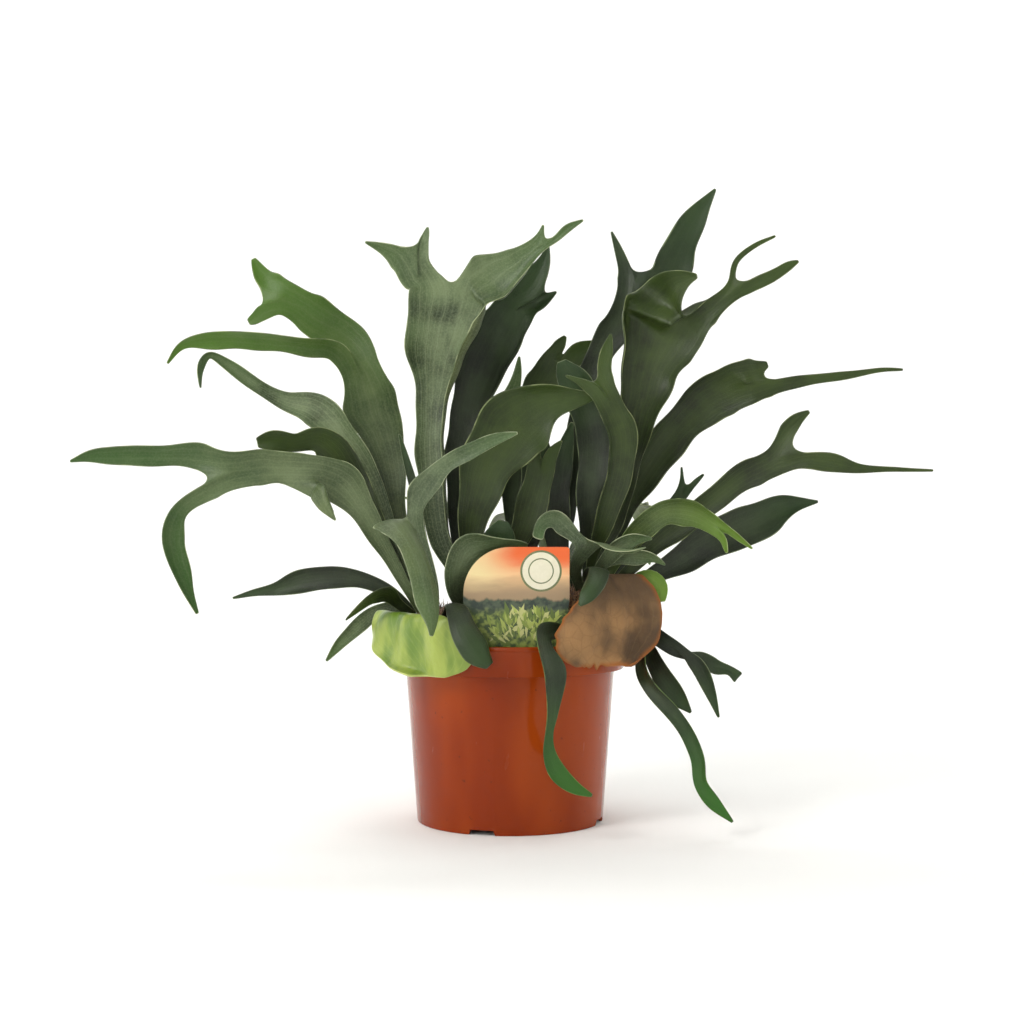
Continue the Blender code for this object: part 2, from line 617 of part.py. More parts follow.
def make_pot():
    """A round injection-moulded pot with a deep collar, a raised base and four drain slots."""
    wall = POT_WALL
    plate_top = POT_PLATE_Z + POT_PLATE_THICK
    outside = [
        (0.0, 0.0), (POT_BOSS_RADIUS, 0.0), (POT_BOSS_RADIUS + 2.0, POT_PLATE_Z),
        (POT_FOOT_RADIUS - 4.0, POT_PLATE_Z), (POT_FOOT_RADIUS - 2.6, 0.0),
        (POT_FOOT_RADIUS - 0.6, 0.0), (POT_FOOT_RADIUS, 0.8),
        (POT_SHOULDER_RADIUS, POT_COLLAR_BOTTOM - 0.4), (POT_RIM_RADIUS - 3.4, POT_COLLAR_BOTTOM),
        (POT_RIM_RADIUS - 2.6, POT_COLLAR_BOTTOM + 0.8), (POT_RIM_RADIUS - 0.8, POT_HEIGHT - 3.0),
        (POT_RIM_RADIUS, POT_HEIGHT - 2.4), (POT_RIM_RADIUS, POT_HEIGHT - 0.8),
        (POT_RIM_RADIUS - 0.8, POT_HEIGHT),
    ]
    inside = [
        (POT_RIM_RADIUS - 3.2, POT_HEIGHT), (POT_RIM_RADIUS - 3.6, POT_HEIGHT - 3.0),
        (POT_RIM_RADIUS - 5.0, POT_COLLAR_BOTTOM + wall + 1.0),
        (POT_SHOULDER_RADIUS - wall, POT_COLLAR_BOTTOM + wall),
        (POT_FOOT_RADIUS - wall, plate_top), (0.0, plate_top),
    ]
    pot = lathe("nursery_pot", outside + inside, POT_SEGMENTS, "terracotta_plastic")
    cutters = []
    for index in range(4):
        bm = bmesh.new()
        bmesh.ops.create_cube(bm, size=1.0)
        bmesh.ops.scale(bm, vec=(16.0, DRAIN_WIDTH, DRAIN_HEIGHT + 2.0), verts=bm.verts[:])
        for vert in bm.verts:
            if vert.co.z > 0:
                vert.co.y *= 0.82
        bmesh.ops.translate(bm, vec=(POT_FOOT_RADIUS, 0.0, DRAIN_HEIGHT / 2.0 - 1.0),
                            verts=bm.verts[:])
        angle = math.radians(DRAIN_FIRST_ANGLE + 90.0 * index)
        bmesh.ops.rotate(bm, cent=(0, 0, 0), matrix=Matrix.Rotation(angle, 3, "Z"),
                         verts=bm.verts[:])
        cutters.append(add_object(f"drain_cutter_{index + 1}", bm, "terracotta_plastic"))
    cut_with(pot, cutters)
    return pot


def make_soil():
    """Potting soil filling the pot, with a slot where the label's stake goes in."""
    wall = POT_WALL + FIT_GAP
    floor = POT_PLATE_Z + POT_PLATE_THICK + FIT_GAP
    profile = [
        (0.0, floor), (POT_FOOT_RADIUS - wall - 0.1, floor),
        (POT_SHOULDER_RADIUS - wall - 0.1, POT_COLLAR_BOTTOM + POT_WALL + FIT_GAP),
        (POT_RIM_RADIUS - 5.5, POT_COLLAR_BOTTOM + POT_WALL + 2.0),
        (POT_RIM_RADIUS - 5.0, SOIL_TOP - 1.0), (POT_RIM_RADIUS - 6.0, SOIL_TOP), (0.0, SOIL_TOP),
    ]
    soil = lathe("potting_soil", profile, POT_SEGMENTS, "potting_soil")
    bm = bmesh.new()
    bmesh.ops.create_cube(bm, size=1.0)
    for vert in bm.verts:
        low = vert.co.z < 0
        half = STAKE_TIP_HALF + FIT_GAP + 0.1 if low else STAKE_HALF + FIT_GAP + 0.4
        depth = -STAKE_DEPTH - FIT_GAP if low else 1.0
        vert.co.x = LABEL_STAKE_X + math.copysign(half, vert.co.x)
        vert.co.y = LABEL_Y + math.copysign(LABEL_THICK / 2.0 + FIT_GAP, vert.co.y)
        vert.co.z = SOIL_TOP + depth
    cut_with(soil, [add_object("stake_slot_cutter", bm, "potting_soil")])
    return soil


def make_label():
    """A flat plant label: a round-shouldered board that narrows to a stake in the soil."""
    outline = [(LABEL_RIGHT, 182.0), (LABEL_RIGHT, LABEL_TOP - 1.0), (LABEL_RIGHT - 1.0, LABEL_TOP)]
    for index in range(9):
        angle = math.radians(90.0 + 90.0 * index / 8)
        outline.append((LABEL_LEFT + LABEL_SHOULDER * (1.0 + math.cos(angle)),
                        LABEL_TOP - LABEL_SHOULDER * (1.0 - math.sin(angle))))
    outline += LABEL_FOOT
    outline += [(LABEL_STAKE_X - STAKE_HALF, 143.0), (LABEL_STAKE_X - STAKE_HALF, SOIL_TOP)]
    outline += [(LABEL_STAKE_X + end * STAKE_TIP_HALF, SOIL_TOP - STAKE_DEPTH)
                for end in (-1.0, 1.0)]
    outline += [(LABEL_STAKE_X + STAKE_HALF, SOIL_TOP), (LABEL_STAKE_X + STAKE_HALF, 146.0)]
    outline += [(42.0, 156.0), (44.5, 170.0)]
    bm = bmesh.new()
    face = bm.faces.new([bm.verts.new((x, LABEL_Y - LABEL_THICK / 2.0, z)) for x, z in outline])
    made = bmesh.ops.extrude_face_region(bm, geom=[face])["geom"]
    moved = [item for item in made if isinstance(item, bmesh.types.BMVert)]
    bmesh.ops.translate(bm, vec=(0.0, LABEL_THICK, 0.0), verts=moved)
    return add_object("plant_label", bm, "printed_label_plastic")


def build():
    """Build every piece of the plant in its pot."""
    for obj in list(bpy.data.objects):
        bpy.data.objects.remove(obj)
    make_pot()
    make_soil()
    make_label()
    for crown, (place, radius) in CROWNS.items():
        make_crown("rhizome_" + crown, place, radius)
    for group in (LEFT, MIDDLE, RIGHT, BACK):
        for name, frond in group.items():
            make_frond(name, frond, STATION_STEP)
    for name, shield in SHIELDS.items():
        make_shield(name, shield)


build()
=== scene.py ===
"""Staghorn fern in a nursery pot: the looks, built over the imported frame.

Every frond is grown as one thin blade from its midline, with the veins, felt and pale edge that a
staghorn fern has. Sizes in the tables are millimetres, in the frame's own axes.
"""
import logging
import math
import random
from dataclasses import dataclass, field
from enum import Enum

import bmesh
import bpy
from mathutils import Matrix, Vector, noise


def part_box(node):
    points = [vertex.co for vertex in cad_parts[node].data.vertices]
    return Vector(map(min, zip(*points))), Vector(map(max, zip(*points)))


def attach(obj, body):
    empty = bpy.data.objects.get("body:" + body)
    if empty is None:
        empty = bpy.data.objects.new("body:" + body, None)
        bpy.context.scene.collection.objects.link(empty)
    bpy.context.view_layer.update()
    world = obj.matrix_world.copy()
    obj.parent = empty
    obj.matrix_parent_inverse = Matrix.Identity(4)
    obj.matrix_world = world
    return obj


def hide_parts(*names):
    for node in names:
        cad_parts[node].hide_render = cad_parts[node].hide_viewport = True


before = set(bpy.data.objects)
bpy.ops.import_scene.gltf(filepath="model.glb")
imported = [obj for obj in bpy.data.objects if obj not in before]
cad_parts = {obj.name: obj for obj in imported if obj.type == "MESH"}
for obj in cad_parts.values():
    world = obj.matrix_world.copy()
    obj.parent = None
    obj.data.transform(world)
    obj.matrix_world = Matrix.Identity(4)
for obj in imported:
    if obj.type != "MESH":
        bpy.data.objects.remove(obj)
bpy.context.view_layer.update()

LOG = logging.getLogger("staghorn_fern")
MM = 0.001
SEAT_GAP = 0.4          # a blade's base to its rhizome tip
SEAT_HALF = 4.0         # widest half width of a blade at its base
TIP_HALF_WIDTH = 0.6
STATION_STEP = 5.0      # spacing of the rows along a blade
FORK_EASE = 16.0        # how far round a fork its corners are eased
BLADE_THICK = 0.9
SHIELD_THICK = 1.6
SHIELD_COLUMNS = 32
SHIELD_STEP = 3.0       # spacing of the rows down a shield
FINE_COLUMNS = 4        # grown columns to each one of the CAD blade
EASE_PASSES = 5
WAVES_IN = 60.0         # how far up its stalk a blade's waves reach their full height
ROLL_IN = 80.0          # how far up its edges are fully rolled
WAVE_SHARE = 0.13       # height of the edge waves, as a part of the half width
WAVE_MOST = 3.4
LONG_WAVE = 12.0        # one radian of the low edge's slow wave
LONG_WAVE_MORE = 4.0    # how much longer it is at the high edge
SHORT_WAVE = 6.3        # one radian of the quick edge wave
SWELL_MOST = 8.0        # highest soft swell of a blade's face
FORK_PARTS = (0.25, 0.5, 0.75)
FORK_SAG = 0.32         # how deep a fork's bay is, as a part of its width
WELD = 0.0005
COLOUR = {"data_type": "RGBA"}
SMOOTH = {"interpolation_type": "SMOOTHSTEP"}


class Crown(Enum):
    """The rhizome tips that bear fronds."""

    LEFT = "left"
    MIDDLE = "middle"
    RIGHT = "right"
    BACK = "back"


class Slot(Enum):
    """The record's material slots."""

    POT = "terracotta_plastic"
    SOIL = "potting_soil"
    LABEL = "printed_label"
    RHIZOME = "rhizome_scales"
    FELTY = "felty_frond"
    DARK = "dark_frond"
    GREEN_SHIELD = "green_shield"
    PAPERY = "papery_shield"


@dataclass
class Lobe:
    """A run of blade along a midline.

    Args:
        points: (x, y, z, half width) along the midline.
        forks: The lobes it splits into, in the order of the blade's columns.
        shares: Columns that each fork takes, in quarters of the base, or () for equal parts.
        cup: Half angle of the blade's rounded section, in radians.
        twist: Degrees of turn along the lobe.
        roll: How far its low and high edges roll towards its face, in radians.
        web: How wide the bay between two of its forks is at its foot, in millimetres.
    """

    points: list[tuple[float, ...]]
    forks: list["Lobe"] = field(default_factory=list)
    shares: tuple[int, ...] = ()
    cup: float = 0.35
    twist: float = 0.0
    roll: tuple[float, float] = (0.0, 0.0)
    web: float = 9.0


@dataclass
class FrondSpec:
    """One frond: where it is seated, its midline, and how it looks.

    Args:
        crown: The rhizome tip that bears it.
        lobe: Its midline and forks.
        look: Its finish.
        face: The way its upper side is turned at the seat.
        columns: Faces across its CAD blade; the grown one has four times as many.
        ruffle: How wavy its edges are; one is gentle.
    """

    crown: Crown
    lobe: Lobe
    look: "BladeLook"
    face: tuple[float, float, float] = (0.0, -1.0, 0.0)
    columns: int = 2
    ruffle: float = 1.0


@dataclass
class ShieldSpec:
    """A shield frond: rows of (angle, radius, z, half width) round the pot's axis.

    Args:
        crown: The rhizome tip that bears it.
        rows: Angles are degrees from the front, positive towards the plant's left.
        finish: What it is made of.
        flare: How far its far edge is pushed out.
        lumps: How uneven its face is, in millimetres.
        torn: How ragged its lower edge is, in millimetres.
        seed: Picks its unevenness.
    """

    crown: Crown
    rows: list[tuple[float, ...]]
    finish: "ShieldFinish"
    flare: float = 0.0
    lumps: float = 1.5
    torn: float = 0.0
    seed: float = 1.0


# ---- finishes -----------------------------------------------------------------------------------
def linear(colour: str) -> tuple[float, float, float, float]:
    """Turn an sRGB hex colour into linear RGBA.

    Args:
        colour: Six hex digits.

    Returns:
        The linear colour, with an alpha of one.
    """
    parts = [int(colour[i:i + 2], 16) / 255 for i in (0, 2, 4)]
    return (*(c / 12.92 if c <= 0.04045 else ((c + 0.055) / 1.055) ** 2.4 for c in parts), 1.0)


def per_mm(size: float) -> float:
    """The texture scale whose features are about size millimetres across."""
    return 1.0 / (size * MM)


def add_node(tree: bpy.types.NodeTree, kind: str, inputs: dict | None = None,
             out: int | str = 0, **settings: object) -> bpy.types.NodeSocket:
    """Add a shader node with its settings, values and links.

    Args:
        tree: The material's node tree.
        kind: The node type's name, without the ShaderNode it starts with.
        inputs: Input index or name to a value, or to the socket that feeds it.
        out: Which of its outputs is wanted.
        **settings: Properties of the node itself.

    Returns:
        The wanted output.
    """
    node = tree.nodes.new("ShaderNode" + kind)
    for name, value in settings.items():
        setattr(node, name, value)
    for key, value in (inputs or {}).items():
        if isinstance(value, bpy.types.NodeSocket):
            tree.links.new(value, node.inputs[key])
        else:
            node.inputs[key].default_value = value
    return node.outputs[out]


def start_material(name: str) -> tuple[bpy.types.Material, bpy.types.NodeTree, bpy.types.Node]:
    """Start a node material.

    Args:
        name: What the material is called.

    Returns:
        The material, its node tree and its Principled shader.
    """
    material = bpy.data.materials.new(name)
    material.use_nodes = True
    return material, material.node_tree, material.node_tree.nodes["Principled BSDF"]


@dataclass(frozen=True)
class BladeLook:
    """A living fern blade, under a felt of pale star-shaped hairs.

    Args:
        name: What the finish is called.
        body: The blade's main green, as sRGB hex.
        shade: The darker green of its patches, and of the painted shade low on its stalk.
        vein: The pale grey-green of its veins and felt.
        tip: The young green towards its tips.
        rim: The pale seam along its edge.
        under: The green of its underside.
        slot: The record's slot that it stands for; not used.
        tip_start: How far along the frond the young green starts.
        tip_amount: How strong the young green gets.
        bloom: How much felt is left on it.
        veins: How far the veins stand out.
        felt_and_highlight_spine: How pale the middle is: partly its felt, partly a painted
            highlight down the midrib.
        ribs: Main veins across the whole blade.
        depth: How strong the painted shade is on the stalk, low among its neighbours.
        rough: Its roughness.
    """

    name: str
    body: str
    shade: str
    vein: str
    tip: str
    rim: str
    under: str
    slot: Slot = Slot.FELTY
    tip_start: float = 0.55
    tip_amount: float = 0.6
    bloom: float = 0.22
    veins: float = 0.24
    felt_and_highlight_spine: float = 0.5
    ribs: float = 14.0
    depth: float = 0.45
    rough: float = 0.43

    def side(self, upper: bool) -> bpy.types.Material:
        """Build the material of one side.

        Args:
            upper: Whether it is the upper side.

        Returns:
            The finished material.
        """
        # Lengthwise pale ribs on mottled grey-green, dusted with felt, and a pale seam at the
        # edge: it is what tells a staghorn frond from a plain green strap.
        kind = "upper" if upper else "under"
        material, tree, shader = start_material(f"{self.name}_{kind}")
        place = add_node(tree, "TexCoord", out="Object")
        across = add_node(tree, "Attribute", out="Fac", attribute_name="vein_u")
        run = add_node(tree, "Attribute", out="Fac", attribute_name="tip")
        edge = add_node(tree, "Attribute", out="Fac", attribute_name="edge_mm")
        patch = add_node(tree, "TexNoise", {"Vector": place, "Scale": per_mm(30), "Detail": 4.0})
        drift = add_node(tree, "TexNoise", {"Vector": place, "Scale": per_mm(16), "Detail": 2.0})
        felt = add_node(tree, "TexNoise", {"Vector": place, "Scale": per_mm(1.4), "Detail": 2.0})
        line = self.vein_lines(tree, across, drift, self.ribs, 0.72)
        fine = self.vein_lines(tree, across, drift, self.ribs * 3.0, 0.45)
        mottle = add_node(tree, "MapRange", {0: patch, 1: 0.25, 2: 0.7}, **SMOOTH)
        body = linear(self.body if upper else self.under)
        colour = add_node(tree, "Mix", {0: mottle, 6: linear(self.shade), 7: body}, 2, **COLOUR)
        # Partly painted highlight: the blade's middle is lightened towards the vein colour, for
        # its felt and for the gloss that lights the midrib.
        felt_and_highlight_spine = add_node(tree, "Math", {0: across, 1: 0.5}, operation="SUBTRACT")
        felt_and_highlight_spine = add_node(tree, "Math", {0: felt_and_highlight_spine}, operation="ABSOLUTE")
        felt_and_highlight_spine = add_node(tree, "MapRange", {0: felt_and_highlight_spine, 1: 0.06, 2: 0.42, 3: self.felt_and_highlight_spine, 4: 0.0},
                         **SMOOTH)
        felt_and_painted_highlight = add_node(tree, "Math", {0: felt_and_highlight_spine, 1: mottle}, operation="MULTIPLY")
        young = add_node(tree, "MapRange", {0: run, 1: self.tip_start, 2: 1.0, 3: 0.0,
                                            4: self.tip_amount}, **SMOOTH)
        # Painted shade: the stalk darkens towards its base, where its neighbouring fronds shade
        # it.
        deep = add_node(tree, "MapRange", {0: run, 1: 0.15, 2: 0.6, 3: self.depth, 4: 0.0},
                        **SMOOTH)
        ribs = add_node(tree, "Math", {0: line, 1: self.veins}, operation="MULTIPLY")
        ribs = add_node(tree, "Math", {0: fine, 1: self.veins * 0.45, 2: ribs},
                        operation="MULTIPLY_ADD", use_clamp=True)
        bare = add_node(tree, "MapRange", {0: young, 1: 0.0, 2: 1.0, 3: 1.0, 4: 0.35})
        ribs = add_node(tree, "Math", {0: ribs, 1: bare}, operation="MULTIPLY")
        haze = add_node(tree, "MapRange", {0: felt, 1: 0.42, 2: 0.68, 3: 0.0, 4: self.bloom},
                        **SMOOTH)
        haze = add_node(tree, "Math", {0: haze, 1: bare}, operation="MULTIPLY")
        seam = add_node(tree, "MapRange", {0: edge, 1: 0.0, 2: 0.7, 3: 0.55, 4: 0.0}, **SMOOTH)
        seam = add_node(tree, "Math", {0: seam, 1: mottle}, operation="MULTIPLY")
        layers = ((felt_and_painted_highlight, self.vein), (young, self.tip), (deep, self.shade), (ribs, self.vein),
                  (haze, self.vein), (seam, self.rim))
        for amount, tint in layers:
            colour = add_node(tree, "Mix", {0: amount, 6: colour, 7: linear(tint)}, 2, **COLOUR)
        tree.links.new(colour, shader.inputs["Base Color"])
        height = add_node(tree, "Math", {0: felt, 1: 0.4, 2: ribs}, operation="MULTIPLY_ADD")
        bump = add_node(tree, "Bump", {"Height": height, "Strength": 0.8, "Distance": 0.0007})
        tree.links.new(bump, shader.inputs["Normal"])
        shader.inputs["Roughness"].default_value = self.rough
        shader.inputs["Specular IOR Level"].default_value = 0.36
        shader.inputs["Sheen Weight"].default_value = 0.06
        shader.inputs["Sheen Roughness"].default_value = 0.45
        shader.inputs["Sheen Tint"].default_value = linear("c9d2bb")
        return material

    def vein_lines(self, tree: bpy.types.NodeTree, across: bpy.types.NodeSocket,
                   drift: bpy.types.NodeSocket, count: float,
                   start: float) -> bpy.types.NodeSocket:
        """Lay thin lines along the blade.

        Args:
            tree: The material's node tree.
            across: How far across the blade a spot is, from 0 to 1.
            drift: Noise that makes the lines wander.
            count: How many lines there are.
            start: How narrow they are, from 0 to 1.

        Returns:
            A mask that is 1 on the lines.
        """
        steps = add_node(tree, "Math", {0: across, 1: count, 2: drift}, operation="MULTIPLY_ADD")
        phase = add_node(tree, "Math", {0: steps, 1: 1.0}, operation="PINGPONG")
        return add_node(tree, "MapRange", {0: phase, 1: start, 2: 1.0}, **SMOOTH)

    def edge(self) -> bpy.types.Material:
        """Build the blade's cut edge.

        Returns:
            The finished material.
        """
        # A thin broken light line round every frond, where the felt is thickest.
        material, tree, shader = start_material(f"{self.name}_edge")
        place = add_node(tree, "TexCoord", out="Object")
        grain = add_node(tree, "TexNoise", {"Vector": place, "Scale": per_mm(14), "Detail": 3.0})
        felt_and_painted_highlight = add_node(tree, "MapRange", {0: grain, 1: 0.38, 2: 0.62}, **SMOOTH)
        colour = add_node(tree, "Mix", {0: felt_and_painted_highlight, 6: linear(self.body), 7: linear(self.rim)}, 2,
                          **COLOUR)
        tree.links.new(colour, shader.inputs["Base Color"])
        shader.inputs["Roughness"].default_value = 0.6
        return material


@dataclass(frozen=True)
class ShieldFinish:
    """A shield frond's blade: smooth and fleshy while green, papery and veined once dead.

    Args:
        name: What the finish is called.
        body: Its main colour, as sRGB hex.
        shade: The colour of its darker patches and net, and of its painted fold shade and top
            shadow.
        vein: The colour of its lighter veins.
        rim: The colour along its edge.
        slot: The record's slot that it stands for; not used.
        rough: Its roughness.
        crackle: How far the net of fine veins shows.
        border: How wide the coloured edge is, in millimetres.
        stretch: How its patches, partly painted fold shade, are drawn out along each axis; less
            than one is longer.
        fan: How far its spreading veins show.
        dusk: How dark the painted shadow is at its top, under the fronds.
    """

    name: str
    body: str
    shade: str
    vein: str
    rim: str
    slot: Slot
    rough: float
    crackle: float
    border: float
    stretch: tuple[float, float, float] = (1.0, 1.0, 0.4)
    fan: float = 0.15
    dusk: float = 0.0

    def build(self) -> bpy.types.Material:
        """Build the blade's patched and netted surface.

        Returns:
            The finished material.
        """
        # Broad soft patches with a forked net of veins: fleshy on the young shield, and a dry
        # tan sheet with a rusty edge on the dead one.
        material, tree, shader = start_material(self.name)
        place = add_node(tree, "TexCoord", out="Object")
        across = add_node(tree, "Attribute", out="Fac", attribute_name="vein_u")
        edge = add_node(tree, "Attribute", out="Fac", attribute_name="edge_mm")
        upright = add_node(tree, "Mapping", {"Vector": place, "Scale": self.stretch})
        patch = add_node(tree, "TexNoise", {"Vector": upright, "Scale": per_mm(26),
                                            "Detail": 3.0})
        spots = add_node(tree, "TexNoise", {"Vector": place, "Scale": per_mm(7), "Detail": 4.0})
        net = add_node(tree, "TexVoronoi", {"Vector": place, "Scale": per_mm(9)},
                       feature="DISTANCE_TO_EDGE")
        web = add_node(tree, "MapRange", {0: net, 1: 0.0, 2: 0.10, 3: self.crackle, 4: 0.0},
                       **SMOOTH)
        fan = add_node(tree, "Math", {0: across, 1: 30.0, 2: spots}, operation="MULTIPLY_ADD")
        fan = add_node(tree, "Math", {0: fan, 1: 1.0}, operation="PINGPONG")
        fan = add_node(tree, "MapRange", {0: fan, 1: 0.72, 2: 1.0, 3: 0.0, 4: self.fan}, **SMOOTH)
        # Partly painted shade: the upright dark patches are the shield's own mottling and also
        # stand for the shade in the valleys of its folds.
        mottle = add_node(tree, "MapRange", {0: patch, 1: 0.38, 2: 0.62}, **SMOOTH)
        colour = add_node(tree, "Mix", {0: mottle, 6: linear(self.shade), 7: linear(self.body)},
                          2, **COLOUR)
        height = add_node(tree, "SeparateXYZ", {0: place}, "Z")
        height = add_node(tree, "Math", {0: patch, 1: 0.03, 2: height}, operation="MULTIPLY_ADD")
        # Painted shadow: the shield darkens towards its top, where the fronds above shade it.
        dusk = add_node(tree, "MapRange", {0: height, 1: 0.178, 2: 0.206, 3: 0.0, 4: self.dusk},
                        **SMOOTH)
        rim = add_node(tree, "MapRange", {0: edge, 1: 0.0, 2: self.border, 3: 0.85, 4: 0.0},
                       **SMOOTH)
        layers = ((fan, self.vein), (web, self.shade), (dusk, self.shade), (rim, self.rim))
        for amount, tint in layers:
            colour = add_node(tree, "Mix", {0: amount, 6: colour, 7: linear(tint)}, 2, **COLOUR)
        tree.links.new(colour, shader.inputs["Base Color"])
        relief = add_node(tree, "Math", {0: spots, 1: web}, operation="SUBTRACT")
        bump = add_node(tree, "Bump", {"Height": relief, "Strength": 0.7, "Distance": 0.0016})
        tree.links.new(bump, shader.inputs["Normal"])
        shader.inputs["Roughness"].default_value = self.rough
        return material


@dataclass(frozen=True)
class MouldedPlastic:
    """Terracotta-coloured polypropylene, injection moulded.

    Args:
        body: Its main colour, as sRGB hex.
        deep: The deeper colour of its flow streaks.
        speck: The colour of the soil specks on it.
        rough: The roughness of its clean gloss.
    """

    body: str = "9e400e"
    deep: str = "842e08"
    speck: str = "4a2413"
    rough: float = 0.12

    def build(self) -> bpy.types.Material:
        """Build the moulded plastic with its scuffs and specks of soil.

        Returns:
            The finished material.
        """
        # A hard, clean gloss that catches the windows of the studio, dulled by handling.
        material, tree, shader = start_material("moulded_terracotta_polypropylene")
        place = add_node(tree, "TexCoord", out="Object")
        upright = add_node(tree, "Mapping", {"Vector": place, "Scale": (1.0, 1.0, 0.3)})
        flow = add_node(tree, "TexNoise", {"Vector": upright, "Scale": per_mm(55)})
        dirt = add_node(tree, "TexNoise", {"Vector": place, "Scale": per_mm(4), "Detail": 4.0})
        scuff = add_node(tree, "TexNoise", {"Vector": upright, "Scale": per_mm(12),
                                            "Detail": 5.0})
        wave = add_node(tree, "TexNoise", {"Vector": place, "Scale": per_mm(34)})
        streak = add_node(tree, "MapRange", {0: flow, 1: 0.35, 2: 0.68}, **SMOOTH)
        colour = add_node(tree, "Mix", {0: streak, 6: linear(self.deep), 7: linear(self.body)},
                          2, **COLOUR)
        marks = add_node(tree, "MapRange", {0: dirt, 1: 0.68, 2: 0.75, 3: 0.0, 4: 0.55},
                         **SMOOTH)
        colour = add_node(tree, "Mix", {0: marks, 6: colour, 7: linear(self.speck)}, 2, **COLOUR)
        tree.links.new(colour, shader.inputs["Base Color"])
        rough = add_node(tree, "MapRange", {0: scuff, 1: 0.35, 2: 0.75, 3: self.rough,
                                            4: self.rough + 0.16}, **SMOOTH)
        tree.links.new(rough, shader.inputs["Roughness"])
        bump = add_node(tree, "Bump", {"Height": wave, "Strength": 0.2, "Distance": 0.0006})
        tree.links.new(bump, shader.inputs["Normal"])
        shader.inputs["Specular IOR Level"].default_value = 0.2
        return material


@dataclass(frozen=True)
class PeatMix:
    """Damp peat potting mix.

    Args:
        body: The peat's colour, as sRGB hex.
        fibre: The colour of its fibres.
    """

    body: str = "2b2018"
    fibre: str = "5b4027"

    def build(self) -> bpy.types.Material:
        """Build the peat's crumbly dark finish.

        Returns:
            The finished material.
        """
        # Nearly black crumbs with brown fibres, so that the crown stands out of shadow.
        material, tree, shader = start_material("damp_peat_mix")
        place = add_node(tree, "TexCoord", out="Object")
        crumbs = add_node(tree, "TexNoise", {"Vector": place, "Scale": per_mm(2.5),
                                             "Detail": 6.0})
        fibre = add_node(tree, "MapRange", {0: crumbs, 1: 0.5, 2: 0.75}, **SMOOTH)
        colour = add_node(tree, "Mix", {0: fibre, 6: linear(self.body), 7: linear(self.fibre)},
                          2, **COLOUR)
        tree.links.new(colour, shader.inputs["Base Color"])
        bump = add_node(tree, "Bump", {"Height": crumbs, "Strength": 0.9, "Distance": 0.0012})
        tree.links.new(bump, shader.inputs["Normal"])
        shader.inputs["Roughness"].default_value = 0.92
        return material


@dataclass(frozen=True)
class HairyScale:
    """Dry hairy scales of the rhizome.

    Args:
        root: The colour of the darker strands, as sRGB hex.
        end: The colour of the lighter ones.
    """

    root: str = "4a2f1c"
    end: str = "9b7549"

    def build(self) -> bpy.types.Material:
        """Build the dry hairy finish.

        Returns:
            The finished material.
        """
        # Rust-brown fur between the frond stalks.
        material, tree, shader = start_material("dry_rhizome_scales")
        place = add_node(tree, "TexCoord", out="Object")
        strands = add_node(tree, "TexNoise", {"Vector": place, "Scale": per_mm(1.5)})
        tint = add_node(tree, "MapRange", {0: strands, 1: 0.35, 2: 0.7}, **SMOOTH)
        colour = add_node(tree, "Mix", {0: tint, 6: linear(self.root), 7: linear(self.end)}, 2,
                          **COLOUR)
        tree.links.new(colour, shader.inputs["Base Color"])
        bump = add_node(tree, "Bump", {"Height": strands, "Strength": 0.7, "Distance": 0.0008})
        tree.links.new(bump, shader.inputs["Normal"])
        shader.inputs["Roughness"].default_value = 0.88
        shader.inputs["Sheen Weight"].default_value = 0.3
        return material


